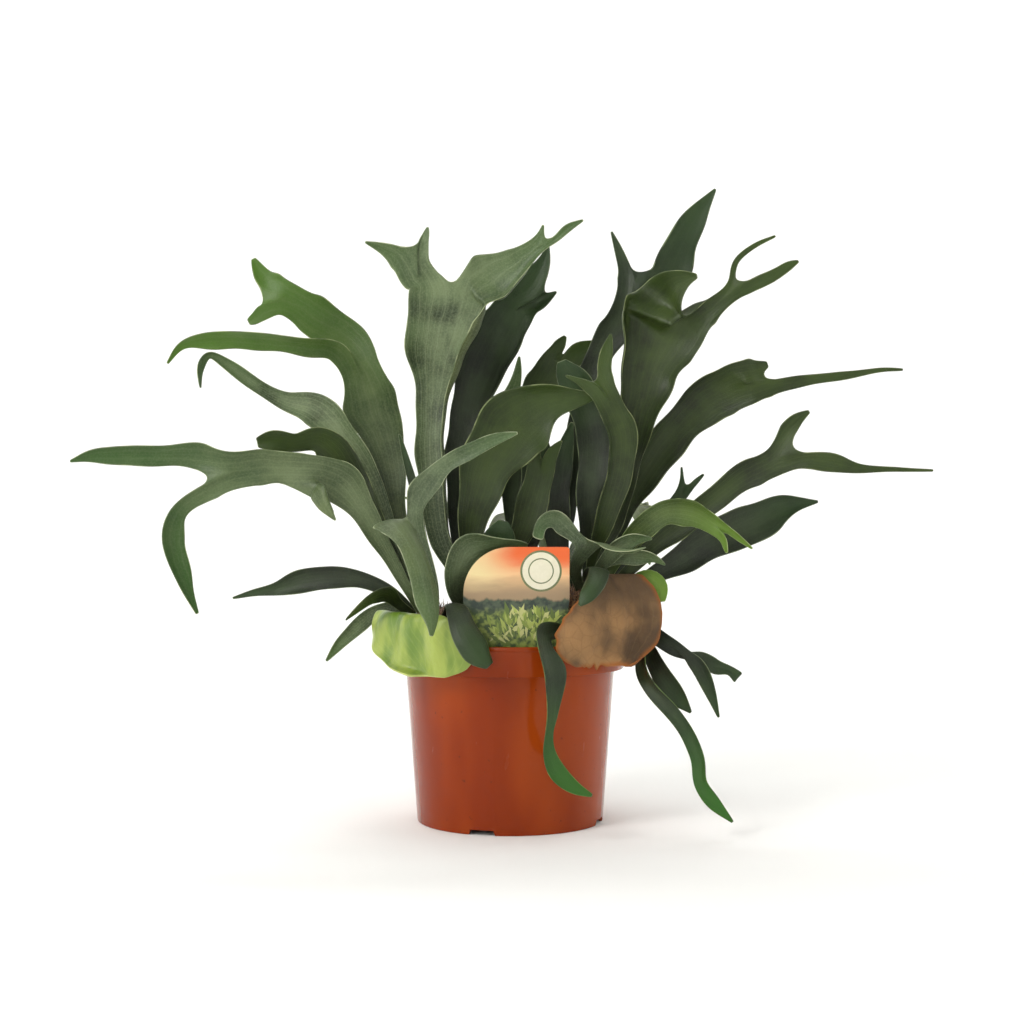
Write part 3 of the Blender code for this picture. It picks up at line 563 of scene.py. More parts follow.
@dataclass(frozen=True)
class PrintedCard:
    """Offset print on thin polystyrene: a warm sky over hills, with leaves at the foot.

    Args:
        sky: The sky's colours from the horizon up, as sRGB hex.
        west: The pale glow on its left.
        hills: The two greens of the hills.
        leaves: The two greens of the ground.
        foot: Height that the picture's bands are counted from, in metres.
    """

    sky: tuple[str, ...] = ("a38a6a", "efc08c", "e8662a")
    west: str = "f0e3a8"
    hills: tuple[str, ...] = ("2c3a30", "4d5a44")
    leaves: tuple[str, ...] = ("3c4f26", "8d9c48")
    foot: float = 0.160

    def build(self) -> bpy.types.Material:
        """Build the printed picture from bands of height.

        Returns:
            The finished material.
        """
        # A bright picture card, half glossy, that stands out of the grey-green leaves.
        material, tree, shader = start_material("offset_printed_polystyrene")
        place = add_node(tree, "TexCoord", out="Object")
        height = add_node(tree, "SeparateXYZ", {0: place}, "Z")
        wide = add_node(tree, "Mapping", {"Vector": place, "Scale": (0.4, 1.0, 1.6)})
        wisps = add_node(tree, "TexNoise", {"Vector": wide, "Scale": per_mm(20), "Detail": 4.0})
        bush = add_node(tree, "TexNoise", {"Vector": place, "Scale": per_mm(5), "Detail": 4.0})
        line = add_node(tree, "Mapping", {"Vector": place, "Scale": (1.0, 0.0, 0.0)})
        crest = add_node(tree, "TexNoise", {"Vector": line, "Scale": per_mm(15), "Detail": 4.0})
        drift = add_node(tree, "Math", {0: wisps, 1: 0.02, 2: height}, operation="MULTIPLY_ADD")
        dusk = add_node(tree, "MapRange", {0: drift, 1: self.foot + 0.034, 2: self.foot + 0.069},
                        **SMOOTH)
        low = add_node(tree, "MapRange", {0: dusk, 1: 0.0, 2: 0.5})
        high = add_node(tree, "MapRange", {0: dusk, 1: 0.5, 2: 1.0})
        colour = add_node(tree, "Mix", {0: low, 6: linear(self.sky[0]), 7: linear(self.sky[1])},
                          2, **COLOUR)
        colour = add_node(tree, "Mix", {0: high, 6: colour, 7: linear(self.sky[2])}, 2, **COLOUR)
        side = add_node(tree, "SeparateXYZ", {0: place}, "X")
        west = add_node(tree, "Math", {0: wisps, 1: -0.02, 2: side}, operation="MULTIPLY_ADD")
        west = add_node(tree, "MapRange", {0: west, 1: -0.036, 2: -0.004, 3: 0.75, 4: 0.0},
                        **SMOOTH)
        west = add_node(tree, "Math", {0: west, 1: low}, operation="MULTIPLY")
        colour = add_node(tree, "Mix", {0: west, 6: colour, 7: linear(self.west)}, 2, **COLOUR)
        tuft = add_node(tree, "MapRange", {0: bush, 1: 0.4, 2: 0.62}, **SMOOTH)
        hill = add_node(tree, "Mix", {0: tuft, 6: linear(self.hills[0]),
                                      7: linear(self.hills[1])}, 2, **COLOUR)
        leaf = add_node(tree, "Mix", {0: tuft, 6: linear(self.leaves[0]),
                                      7: linear(self.leaves[1])}, 2, **COLOUR)
        ridge = add_node(tree, "Math", {0: crest, 1: 0.016, 2: self.foot + 0.015},
                         operation="MULTIPLY_ADD")
        depth = add_node(tree, "Math", {0: ridge, 1: height}, operation="SUBTRACT")
        below = add_node(tree, "MapRange", {0: depth, 1: 0.0, 2: 0.002})
        colour = add_node(tree, "Mix", {0: below, 6: colour, 7: hill}, 2, **COLOUR)
        near = add_node(tree, "MapRange", {0: depth, 1: 0.007, 2: 0.013})
        colour = add_node(tree, "Mix", {0: near, 6: colour, 7: leaf}, 2, **COLOUR)
        tree.links.new(colour, shader.inputs["Base Color"])
        shader.inputs["Roughness"].default_value = 0.34
        return material


@dataclass(frozen=True)
class Ink:
    """One flat ink of the label's picture, with the card's grain in it.

    Args:
        name: What the ink is called.
        colour: Its colour, as sRGB hex.
        grain: The colour of the card's grain in it.
        rough: Its roughness.
    """

    name: str
    colour: str
    grain: str
    rough: float = 0.35

    def build(self) -> bpy.types.Material:
        """Build the ink.

        Returns:
            The finished material.
        """
        # Even printed colour, only faintly broken up by the card.
        material, tree, shader = start_material(self.name)
        place = add_node(tree, "TexCoord", out="Object")
        speck = add_node(tree, "TexNoise", {"Vector": place, "Scale": per_mm(3)})
        faint = add_node(tree, "Math", {0: speck, 1: 0.3}, operation="MULTIPLY")
        colour = add_node(tree, "Mix", {0: faint, 6: linear(self.colour),
                                        7: linear(self.grain)}, 2, **COLOUR)
        tree.links.new(colour, shader.inputs["Base Color"])
        shader.inputs["Roughness"].default_value = self.rough
        return material


FELTY = BladeLook("felted_grey_green_blade", "586a43", "27331d", "8c9a73", "38551e", "a3ac82",
                  "5f6a3f", tip_start=0.6, tip_amount=0.85, veins=0.28, depth=0.85)
GREYER = BladeLook("silvery_felt_blade", "4e5d3e", "3a4730", "7c8a68", "4a6834", "adb58f",
                   "5f6c44", bloom=0.3, depth=0.2)
GREEN_TIPPED = BladeLook("silvery_blade_with_green_tips", "54613e", "3d4c2e", "7a8860", "2c5014",
                         "9ca67c", "5f6c42", tip_start=0.4, tip_amount=0.95, depth=0.2)
DARK = BladeLook("deep_green_blade", "232d19", "161d11", "3c492d", "284814", "68754f",
                 "303e27", Slot.DARK, bloom=0.12, veins=0.15, tip_amount=0.5)
GREEN_ENDED = BladeLook("deep_blade_with_green_end", "27341d", "182013", "3e4c2f", "2e6414",
                        "68803f", "36492a", Slot.DARK, tip_start=0.45, tip_amount=0.9,
                        bloom=0.12, veins=0.15)
OLIVE = BladeLook("olive_felt_blade", "2a3912", "19220a", "42521f", "3b5017", "7a8455",
                  "44521f", bloom=0.1)
LIME_TIPPED = BladeLook("lime_tipped_blade", "3f4e2d", "26321c", "6d784f", "446a0c", "919c6a",
                        "556433", tip_start=0.25, tip_amount=0.95)
FRESH = BladeLook("fresh_green_blade", "3e5120", "2c3a18", "647640", "628422", "98a86a",
                  "56692e", tip_start=0.5, tip_amount=0.85)
YOUNG_LIME = BladeLook("lime_young_blade", "5f7f26", "4a6a1e", "82a043", "6f9426", "a8bd6a",
                       "6a8a34", Slot.GREEN_SHIELD, bloom=0.1, veins=0.15, depth=0.1)
GREEN_SHIELD = ShieldFinish("fleshy_green_shield", "9cac4c", "64822c", "afbc64", "c4cc7c",
                            Slot.GREEN_SHIELD, 0.32, 0.0, 1.2)
BROWN_SHIELD = ShieldFinish("papery_tan_shield", "a27a4e", "5a452f", "b08c5e", "9a581e",
                            Slot.PAPERY, 0.85, 0.16, 4.0, (0.55, 0.55, 0.45), 0.08, 0.8)


# ---- blades -------------------------------------------------------------------------------------
def curve_point(knots: list[float], controls: list[Vector], index: int,
                amount: float) -> Vector:
    """Find a centripetal Catmull-Rom point between control index and index + 1.

    Args:
        knots: The curve's parameter at each control.
        controls: The points it runs through.
        index: The control before the point.
        amount: How far it is towards the next control, from 0 to 1.

    Returns:
        The point on the curve.
    """
    t0, t1, t2, t3 = knots[index - 1:index + 3]
    p0, p1, p2, p3 = controls[index - 1:index + 3]
    t = t1 + (t2 - t1) * amount
    a1 = p0.lerp(p1, (t - t0) / (t1 - t0))
    a2 = p1.lerp(p2, (t - t1) / (t2 - t1))
    a3 = p2.lerp(p3, (t - t2) / (t3 - t2))
    b1 = a1.lerp(a2, (t - t0) / (t2 - t0))
    b2 = a2.lerp(a3, (t - t1) / (t3 - t1))
    return b1.lerp(b2, (t - t1) / (t2 - t1))


def stations(controls: list[Vector], lead: Vector, step: float) -> list[tuple[Vector, float]]:
    """Sample a midline about every step.

    Args:
        controls: (x, y, z, half width) in millimetres.
        lead: How the midline travels before its first control.
        step: Spacing of the samples.

    Returns:
        (place, half width) for each station.
    """
    ghost = Vector((*(controls[0].xyz - lead), controls[0].w))
    chain = [ghost] + controls + [controls[-1] + (controls[-1] - controls[-2])]
    knots = [0.0]
    for one, two in zip(chain, chain[1:]):
        knots.append(knots[-1] + math.sqrt(max((two.xyz - one.xyz).length, 0.01)))
    found = []
    for index in range(1, len(controls)):
        span = (chain[index + 1].xyz - chain[index].xyz).length
        count = max(1, round(span / step))
        for part in range(count):
            found.append(curve_point(knots, chain, index, part / count))
    found.append(controls[-1])
    return [(point.xyz, max(point.w, TIP_HALF_WIDTH)) for point in found]


def lobe_length(lobe: Lobe, start: Vector) -> float:
    """Measure the longest run of midline from start to a tip.

    Args:
        lobe: The lobe to follow, with its forks.
        start: Where its midline starts.

    Returns:
        The length, in millimetres.
    """
    total = 0.0
    for point in lobe.points:
        here = Vector(point[:3])
        total += (here - start).length
        start = here
    return total + max((lobe_length(fork, start) for fork in lobe.forks), default=0.0)


def revolve(bm: bmesh.types.BMesh, profile: list[tuple[float, float]], steps: int) -> None:
    """Turn a section round the Z axis into a welded skin.

    Args:
        bm: The empty mesh that takes it.
        profile: (radius, z) along the section.
        steps: Faces round the axis.
    """
    verts = [bm.verts.new((reach, 0.0, z)) for reach, z in profile]
    edges = [bm.edges.new(pair) for pair in zip(verts, verts[1:])]
    bmesh.ops.spin(bm, geom=verts + edges, cent=(0, 0, 0), axis=(0, 0, 1), angle=math.tau,
                   steps=steps, use_merge=True)
    bmesh.ops.remove_doubles(bm, verts=bm.verts[:], dist=WELD)
    bmesh.ops.recalc_face_normals(bm, faces=bm.faces[:])


def tip_dome(crown: Crown) -> tuple[Vector, float, float]:
    """Measure the dome on top of a rhizome tip, in millimetres.

    Args:
        crown: Which tip.

    Returns:
        The dome's centre and radius, and the height of the tip's foot.
    """
    low, high = (Vector(corner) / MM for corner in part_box("rhizome_" + crown.value))
    radius = (high.x - low.x) * 0.5
    centre = Vector(((low.x + high.x) * 0.5, (low.y + high.y) * 0.5, high.z - radius))
    return centre, radius, low.z


def extrude_row(bm: bmesh.types.BMesh, row: list, positions: list[Vector]) -> list:
    """Grow a sheet by one row of faces.

    Args:
        bm: The mesh that is growing.
        row: The last row's vertices.
        positions: Where the new row goes.

    Returns:
        The new row's vertices, in the same order.
    """
    edges = [bm.edges.get((one, two)) for one, two in zip(row, row[1:])]
    made = bmesh.ops.extrude_edge_only(bm, edges=edges)["geom"]
    new = {item for item in made if isinstance(item, bmesh.types.BMVert)}
    grown = []
    for old, position in zip(row, positions):
        vert = next(edge.other_vert(old) for edge in old.link_edges
                    if edge.other_vert(old) in new)
        vert.co = position
        grown.append(vert)
    return grown


class Blade:
    """Grows a forked blade as a bmesh sheet that carries its own vein and edge attributes."""

    def __init__(self, spec: FrondSpec, seed: int) -> None:
        """Start an empty sheet.

        Args:
            spec: The frond to grow.
            seed: Picks its waves and swells.
        """
        self.spec = spec
        self.bm = bmesh.new()
        self.vein = self.bm.verts.layers.float.new("vein_u")
        self.tip = self.bm.verts.layers.float.new("tip")
        self.edge = self.bm.verts.layers.float.new("edge_mm")
        self.chance = random.Random(seed)
        self.phase = [self.chance.uniform(0.0, math.tau) for _ in range(4)]
        self.joints: list[Vector] = []
        self.offset = Vector((self.chance.uniform(0.0, 50.0), 0.0, 0.0))
        self.length = 1.0
        self.gone = 0.0

    def grow(self, base: Vector, along: Vector, half: float) -> bmesh.types.BMesh:
        """Grow the whole blade.

        Args:
            base: The middle of its seat.
            along: The direction it leaves in.
            half: Half its width at the seat.

        Returns:
            The sheet, in millimetres.
        """
        spec = self.spec
        side = along.cross(Vector(spec.face)).normalized()
        columns = spec.columns * FINE_COLUMNS
        self.length = lobe_length(spec.lobe, base)
        spots = self.section(base, half, side, along, (0.0, 0.0, 0.0), columns)
        row = [self.bm.verts.new(spot) for spot in spots]
        for one, two in zip(row, row[1:]):
            self.bm.edges.new((one, two))
        self.mark(row, 0.0, 1.0, 0.0, half)
        self.grow_lobe(spec.lobe, row, Vector((*base, half)), side, along, (0.0, 1.0, 0.0))
        near = [vert for vert in self.bm.verts
                if any((vert.co - joint).length < FORK_EASE for joint in self.joints)]
        for _ in range(EASE_PASSES):
            bmesh.ops.smooth_vert(self.bm, verts=near, factor=0.5, use_axis_x=True,
                                  use_axis_y=True, use_axis_z=True)
        return self.bm

    def section(self, place: Vector, half: float, side: Vector, along: Vector,
                bend: tuple[float, float, float], columns: int) -> list[Vector]:
        """Lay out one row across the blade: cupped, rolled at its edges and softly waved.

        Args:
            place: The middle of the row.
            half: Half its width.
            side: Across the blade.
            along: Along the blade.
            bend: The cup, and the rolls of the low and high edges, in radians.
            columns: Faces across.

        Returns:
            The row's points, from the low edge to the high one.
        """
        normal = side.cross(along)
        cup, *rolls = bend
        count = columns // 2
        fade = min(self.gone / WAVES_IN, 1.0)
        swing = min(half * WAVE_SHARE, WAVE_MOST) * self.spec.ruffle * fade
        halves = []
        for which, roll in enumerate(rolls):
            slow = LONG_WAVE + LONG_WAVE_MORE * which
            wave = math.sin(self.gone / slow + self.phase[which])
            wave += 0.6 * math.sin(self.gone / SHORT_WAVE + self.phase[2 + which])
            step = half / count * (1.0 + 0.16 * abs(roll)) * (1.0 + 0.08 * wave * fade)
            out, rise = 0.0, 0.0
            run = []
            for column in range(1, count + 1):
                part = (column - 0.5) / count
                turn = 1.5 * cup * part + roll * max(0.0, (part - 0.5) / 0.5)
                out += math.cos(turn) * step
                rise += math.sin(turn) * step
                run.append((out, rise + swing * wave * (column / count) ** 3))
            halves.append(run)
        low, high = halves
        flat = [(-out, rise) for out, rise in reversed(low)] + [(0.0, 0.0)] + high
        spots = []
        for out, rise in flat:
            spot = place + side * out + normal * rise
            swell = noise.noise(spot * 0.013 + self.offset) * min(half * 0.5, SWELL_MOST)
            spots.append(spot + normal * swell * fade * self.spec.ruffle)
        return spots

    def mark(self, row: list, low: float, high: float, tip: float, half: float) -> None:
        """Write the vein, tip and edge attributes of one row.

        Args:
            row: The row's vertices.
            low: The vein at its low edge, from 0 to 1 across the frond.
            high: The vein at its high edge.
            tip: How far along the frond it is, from 0 to 1.
            half: Half the row's width, in millimetres.
        """
        last = len(row) - 1
        for column, vert in enumerate(row):
            vert[self.vein] = low + (high - low) * column / last
            vert[self.tip] = tip
            vert[self.edge] = half * (1.0 - abs(2.0 * column / last - 1.0))

    def grow_lobe(self, lobe: Lobe, row: list, start: Vector, side: Vector, along: Vector,
                  band: tuple[float, float, float]) -> tuple[list, list]:
        """Grow one lobe from a row, then its forks from parts of its last row.

        Args:
            lobe: The lobe to grow.
            row: The row of vertices it starts from.
            start: That row's middle and half width.
            side: Across the blade at the start.
            along: Its direction at the start.
            band: The veins it carries, low and high, and how far along the frond it starts.

        Returns:
            The vertices along its low edge and along its high edge.
        """
        low, high, gone = band
        lows, highs = [row[0]], [row[-1]]
        columns = len(row) - 1
        controls = [start] + [Vector(point) for point in lobe.points]
        lead = along * (controls[1].xyz - controls[0].xyz).length * 0.5
        path = stations(controls, lead, STATION_STEP)
        for index in range(1, len(path)):
            place, half = path[index]
            gone += (place - path[index - 1][0]).length
            self.gone = gone
            ahead = path[min(index + 1, len(path) - 1)][0] - path[index - 1][0]
            ahead.normalize()
            turned = along.rotation_difference(ahead) @ side
            side = (turned - ahead * turned.dot(ahead)).normalized()
            turn = math.radians(lobe.twist) / (len(path) - 1)
            side.rotate(Matrix.Rotation(turn, 3, ahead))
            along = ahead
            bend = (lobe.cup, *(roll * min(1.0, gone / ROLL_IN) for roll in lobe.roll))
            row = extrude_row(self.bm, row,
                              self.section(place, half, side, along, bend, columns))
            self.mark(row, low, high, gone / self.length, half)
            lows.append(row[0])
            highs.append(row[-1])
        if not lobe.forks:
            return lows, highs
        shares = lobe.shares or tuple(1 for _ in lobe.forks)
        unit = columns // sum(shares)
        first = 0
        beside = None
        for fork, share in zip(lobe.forks, shares):
            last = first + share * unit
            part = row[first:last + 1]
            centre = (part[0].co + part[-1].co) * 0.5
            self.joints += [part[0].co.copy(), part[-1].co.copy()]
            half = (part[0].co - part[-1].co).length * 0.5
            reach = (high - low) / columns
            inner, outer = self.grow_lobe(fork, part, Vector((*centre, half)), side, along,
                                          (low + reach * first, low + reach * last, gone))
            if beside:
                self.join_fork(beside, inner, along, lobe.web)
            beside = outer
            first = last
        return lows, highs

    def join_fork(self, one: list, two: list, along: Vector, web: float) -> None:
        """Fill the bottom of a fork with blade, so that it ends in a rounded bay.

        Args:
            one: The inner edge of the lobe on the low side, from the fork.
            two: The inner edge of the lobe on the high side.
            along: The blade's direction at the fork.
            web: How wide the bay may be where it starts.
        """
        rungs = []
        for left, right in zip(one[1:-1], two[1:-1]):
            gap = (left.co - right.co).length
            if gap > web:
                break
            rung = [left]
            for part in FORK_PARTS:
                sag = along * gap * FORK_SAG * 4.0 * part * (1.0 - part)
                vert = self.bm.verts.new(left.co.lerp(right.co, part) - sag)
                vert[self.vein] = left[self.vein] * (1.0 - part) + right[self.vein] * part
                vert[self.tip] = left[self.tip]
                rung.append(vert)
            rungs.append(rung + [right])
        below = None
        for rung in rungs:
            for index in range(4):
                if below:
                    self.bm.faces.new((below[index], below[index + 1], rung[index + 1],
                                       rung[index]))
                else:
                    self.bm.faces.new((one[0], rung[index + 1], rung[index]))
            below = rung
        for index, rung in enumerate(rungs):
            for vert in rung:
                vert[self.edge] = (len(rungs) - 1 - index) * STATION_STEP
        one[0][self.edge] = len(rungs) * STATION_STEP


def finish_mesh(name: str, bm: bmesh.types.BMesh, materials: list[bpy.types.Material],
                replaced: str | None = None) -> bpy.types.Object:
    """Make a piece of a bmesh in millimetres, riding on the one body.

    Args:
        name: The piece's name.
        bm: Its mesh, which is used up.
        materials: Its material slots, in order.
        replaced: The CAD node it stands for, if any.

    Returns:
        The new object.
    """
    bmesh.ops.scale(bm, vec=(MM, MM, MM), verts=bm.verts[:])
    mesh = bpy.data.meshes.new(name)
    bm.to_mesh(mesh)
    bm.free()
    mesh.shade_smooth()
    piece = bpy.data.objects.new(name, mesh)
    bpy.context.collection.objects.link(piece)
    for material in materials:
        mesh.materials.append(material)
    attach(piece, "root")
    if replaced:
        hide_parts(replaced)
    return piece


def thicken(piece: bpy.types.Object, thick: float, under: int = 1, rim: int = 2) -> None:
    """Give a blade its thickness, a rounded edge and its under and edge materials.

    Args:
        piece: The blade.
        thick: Its thickness, in millimetres.
        under: Material slots from the upper side to the underside.
        rim: Material slots from the upper side to the edge.
    """
    solid = piece.modifiers.new("thickness", "SOLIDIFY")
    solid.thickness = thick * MM
    solid.offset = 0.0
    solid.material_offset = under
    solid.material_offset_rim = rim
    fine = piece.modifiers.new("fine", "SUBSURF")
    fine.levels = 1
    fine.render_levels = 1


class Plant:
    """Every frond and shield of the fern, each seated on its rhizome tip."""

    def __init__(self) -> None:
        """Measure the seats, and start with no material built."""
        self.looks: dict[str, list[bpy.types.Material]] = {}
        self.crowns = {crown: tip_dome(crown) for crown in Crown}

    def materials(self, look: BladeLook) -> list[bpy.types.Material]:
        """Build a look's materials, once.

        Args:
            look: The look.

        Returns:
            Its upper, under and edge materials.
        """
        if look.name not in self.looks:
            self.looks[look.name] = [look.side(True), look.side(False), look.edge()]
        return self.looks[look.name]

    def frond(self, name: str, spec: FrondSpec, replaced: bool = True) -> bpy.types.Object:
        """Grow one frond.

        Args:
            name: The frond's name, which is its CAD node's name too.
            spec: Where and how it grows.
            replaced: Whether it stands for a CAD node.

        Returns:
            The finished piece.
        """
        centre, radius, _foot = self.crowns[spec.crown]
        first = Vector(spec.lobe.points[0])
        along = (first.xyz - centre).normalized()
        half = min(first.w, SEAT_HALF)
        reach = radius + SEAT_GAP
        if along.z < 0.0:
            reach = reach / along.xy.length - half * along.z
        blade = Blade(spec, sum(map(ord, name)))
        bm = blade.grow(centre + along * reach, along, half)
        bmesh.ops.recalc_face_normals(bm, faces=bm.faces[:])
        middle = next(iter(bm.faces))
        side = along.cross(Vector(spec.face))
        bm.normal_update()
        if middle.normal.dot(side.cross(along)) < 0.0:
            bmesh.ops.reverse_faces(bm, faces=bm.faces[:])
        piece = finish_mesh(name + "_blade", bm, self.materials(spec.look),
                            name if replaced else None)
        thicken(piece, BLADE_THICK)
        return piece

    def shield(self, name: str, spec: ShieldSpec) -> bpy.types.Object:
        """Loft one shield frond from its seat out and down over the rim.

        Args:
            name: The shield's name, which is its CAD node's name too.
            spec: Its rows and finish.

        Returns:
            The finished piece.
        """
        centre, radius, _foot = self.crowns[spec.crown]
        angle, reach, z, half = spec.rows[0]
        turn = math.radians(angle)
        along = Vector((-reach * math.sin(turn), -reach * math.cos(turn), z)) - centre
        along.normalize()
        side = along.cross(Vector((0.0, 0.0, 1.0))).normalized()
        base = centre + along * (radius + SEAT_GAP)
        bm = bmesh.new()
        vein = bm.verts.layers.float.new("vein_u")
        edge = bm.verts.layers.float.new("edge_mm")
        row = []
        for column in range(SHIELD_COLUMNS + 1):
            across = 2.0 * column / SHIELD_COLUMNS - 1.0
            row.append(bm.verts.new(base + side * SEAT_HALF * across))
        for one, two in zip(row, row[1:]):
            bm.edges.new((one, two))
        controls = [Vector(entry) for entry in spec.rows]
        fine = self.shield_rows(controls)
        for index, entry in enumerate(fine):
            left = len(fine) - 1 - index
            row = extrude_row(bm, row, self.shield_row(spec, entry, left))
            for column, vert in enumerate(row):
                across = 2.0 * column / SHIELD_COLUMNS - 1.0
                vert[vein] = column / SHIELD_COLUMNS
                vert[edge] = min(entry.w * (1.0 - abs(across)), left * SHIELD_STEP)
        bmesh.ops.recalc_face_normals(bm, faces=bm.faces[:])
        bm.normal_update()
        bm.faces.ensure_lookup_table()
        outer = bm.faces[len(bm.faces) // 2]
        if outer.normal.dot(outer.calc_center_median() * Vector((1.0, 1.0, 0.0))) < 0.0:
            bmesh.ops.reverse_faces(bm, faces=bm.faces[:])
        if spec.finish.name not in self.looks:
            self.looks[spec.finish.name] = [spec.finish.build()]
        piece = finish_mesh(name + "_blade", bm, self.looks[spec.finish.name],
                            name)
        thicken(piece, SHIELD_THICK, 0, 0)
        return piece

    def shield_rows(self, controls: list[Vector]) -> list[Vector]:
        """Sample a shield's rows at even steps down its profile.

        Args:
            controls: (angle, radius, z, half width) of the rows it is given by.

        Returns:
            The sampled rows, from its seat to its foot.
        """
        chain = [controls[0] * 2.0 - controls[1]] + controls
        chain.append(controls[-1] * 2.0 - controls[-2])
        knots = [0.0]
        for one, two in zip(chain, chain[1:]):
            knots.append(knots[-1] + math.sqrt(max((two.yz - one.yz).length, 0.5)))
        found = []
        for index in range(1, len(controls)):
            span = (chain[index + 1].yz - chain[index].yz).length
            count = max(1, round(span / SHIELD_STEP))
            for part in range(count):
                found.append(curve_point(knots, chain, index, part / count))
        found.append(controls[-1])
        return found

    def shield_row(self, spec: ShieldSpec, entry: Vector, left: int) -> list[Vector]:
        """Lay out one row round the pot's axis, lumpy, and torn near the shield's foot.

        Args:
            spec: The shield it belongs to.
            entry: Its angle, radius, height and half width.
            left: How many rows come after it.

        Returns:
            The row's points, from the low edge to the high one.
        """
        angle, reach, z, half = entry
        ragged = noise.noise(Vector((z * 0.13, spec.seed, 7.0)))
        ragged += 0.7 * noise.noise(Vector((z * 0.6, spec.seed, 5.0)))
        half *= 1.0 + 0.012 * spec.torn * ragged
        spots = []
        for column in range(SHIELD_COLUMNS + 1):
            across = 2.0 * column / SHIELD_COLUMNS - 1.0
            turn = math.radians(angle) + half / reach * across
            lump = noise.noise(Vector((turn * 6.0, z * 0.02, spec.seed))) * spec.lumps
            away = max(across * math.copysign(1.0, spec.flare), 0.0) ** 2
            out = reach + abs(spec.flare) * away + lump
            torn = noise.noise(Vector((turn * 26.0, spec.seed, 3.0))) * spec.torn
            drop = torn * max(0.0, 1.0 - left / 4.0)
            spots.append(Vector((-out * math.sin(turn), -out * math.cos(turn), z + drop)))
        return spots


@dataclass
class NurseryPot:
    """The injection-moulded pot: a deep collar over a tapered body, on a raised base.

    Args:
        segments: Faces round the pot.
        wall: How thick the body's wall is, in millimetres, as are the sizes below.
        collar_bottom: Height of the collar's lower edge.
        shoulder: The body's radius under the collar.
        foot: Its radius at the foot.
        plate: How far the base plate is raised inside the foot ring.
        boss: Radius of the boss under the plate.
        drain_height: Height of a drain slot.
        drain_width: Width of a drain slot.
        drain_angle: Where the first slot is, in degrees round the axis.
    """

    segments: int = 192
    wall: float = 2.0
    collar_bottom: float = 123.4
    shoulder: float = 84.5
    foot: float = 75.2
    plate: float = 2.4
    boss: float = 32.0
    drain_height: float = 4.2
    drain_width: float = 23.0
    drain_angle: float = -107.0

    def profile(self) -> list[tuple[float, float]]:
        """Draw the section from the base's middle, up outside and down inside.

        Returns:
            (radius, z) along the section, in millimetres.
        """
        low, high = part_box("nursery_pot")
        rim = high[0] / MM
        top = high[2] / MM
        foot, collar = self.foot, self.collar_bottom
        return [
            (0.0, 0.0), (self.boss, 0.0), (self.boss + 2.0, self.plate),
            (foot - 4.0, self.plate), (foot - 2.6, 0.0), (foot - 0.9, 0.0), (foot - 0.2, 0.3),
            (foot, 1.0), (self.shoulder - 0.1, collar - 1.2), (self.shoulder + 0.2, collar - 0.5),
            (self.shoulder + 0.9, collar - 0.1), (rim - 3.9, collar), (rim - 3.1, collar + 0.3),
            (rim - 2.7, collar + 1.1), (rim - 1.0, top - 4.2), (rim - 0.7, top - 3.6),
            (rim - 0.2, top - 3.2), (rim, top - 2.6), (rim, top - 1.2), (rim - 0.3, top - 0.4),
            (rim - 1.0, top), (rim - 2.4, top), (rim - 3.1, top - 0.5), (rim - 3.5, top - 1.6),
            (rim - 4.9, collar + self.wall + 1.4), (rim - 5.4, collar + self.wall + 0.4),
            (self.shoulder - self.wall + 0.6, collar + self.wall),
            (self.shoulder - self.wall, collar + self.wall - 0.6),
            (foot - self.wall, self.plate + 1.6), (0.0, self.plate + 1.6),
        ]

    def build(self) -> bpy.types.Object:
        """Turn the section and cut the four drain slots through its foot.

        Returns:
            The finished piece.
        """
        bm = bmesh.new()
        revolve(bm, self.profile(), self.segments)
        piece = finish_mesh("nursery_pot_shell", bm, [MouldedPlastic().build()],
                            "nursery_pot")
        self.cut_drains(piece)
        piece.data.set_sharp_from_angle(angle=math.radians(32.0))
        return piece

    def cut_drains(self, piece: bpy.types.Object) -> None:
        """Cut the drain slots and keep the cut shape as the pot's own mesh.

        Args:
            piece: The pot.
        """
        bm = bmesh.new()
        for index in range(4):
            made = bmesh.ops.create_cube(bm, size=1.0)["verts"]
            bmesh.ops.scale(bm, vec=(16.0, self.drain_width, self.drain_height + 2.0), verts=made)
            for vert in made:
                if vert.co.z > 0.0:
                    vert.co.y *= 0.82
            bmesh.ops.translate(bm, vec=(self.foot, 0.0, self.drain_height / 2.0 - 1.0),
                                verts=made)
            turn = Matrix.Rotation(math.radians(self.drain_angle + 90.0 * index), 3, "Z")
            bmesh.ops.rotate(bm, cent=(0, 0, 0), matrix=turn, verts=made)
        bmesh.ops.scale(bm, vec=(MM, MM, MM), verts=bm.verts[:])
        mesh = bpy.data.meshes.new("drain_cutter")
        bm.to_mesh(mesh)
        bm.free()
        cutter = bpy.data.objects.new("drain_cutter", mesh)
        bpy.context.collection.objects.link(cutter)
        cut = piece.modifiers.new("drains", "BOOLEAN")
        cut.operation = "DIFFERENCE"
        cut.solver = "EXACT"
        cut.object = cutter
        shown = piece.evaluated_get(bpy.context.evaluated_depsgraph_get())
        cut_mesh = bpy.data.meshes.new_from_object(shown)
        piece.modifiers.remove(cut)
        piece.data = cut_mesh
        bpy.data.objects.remove(cutter)


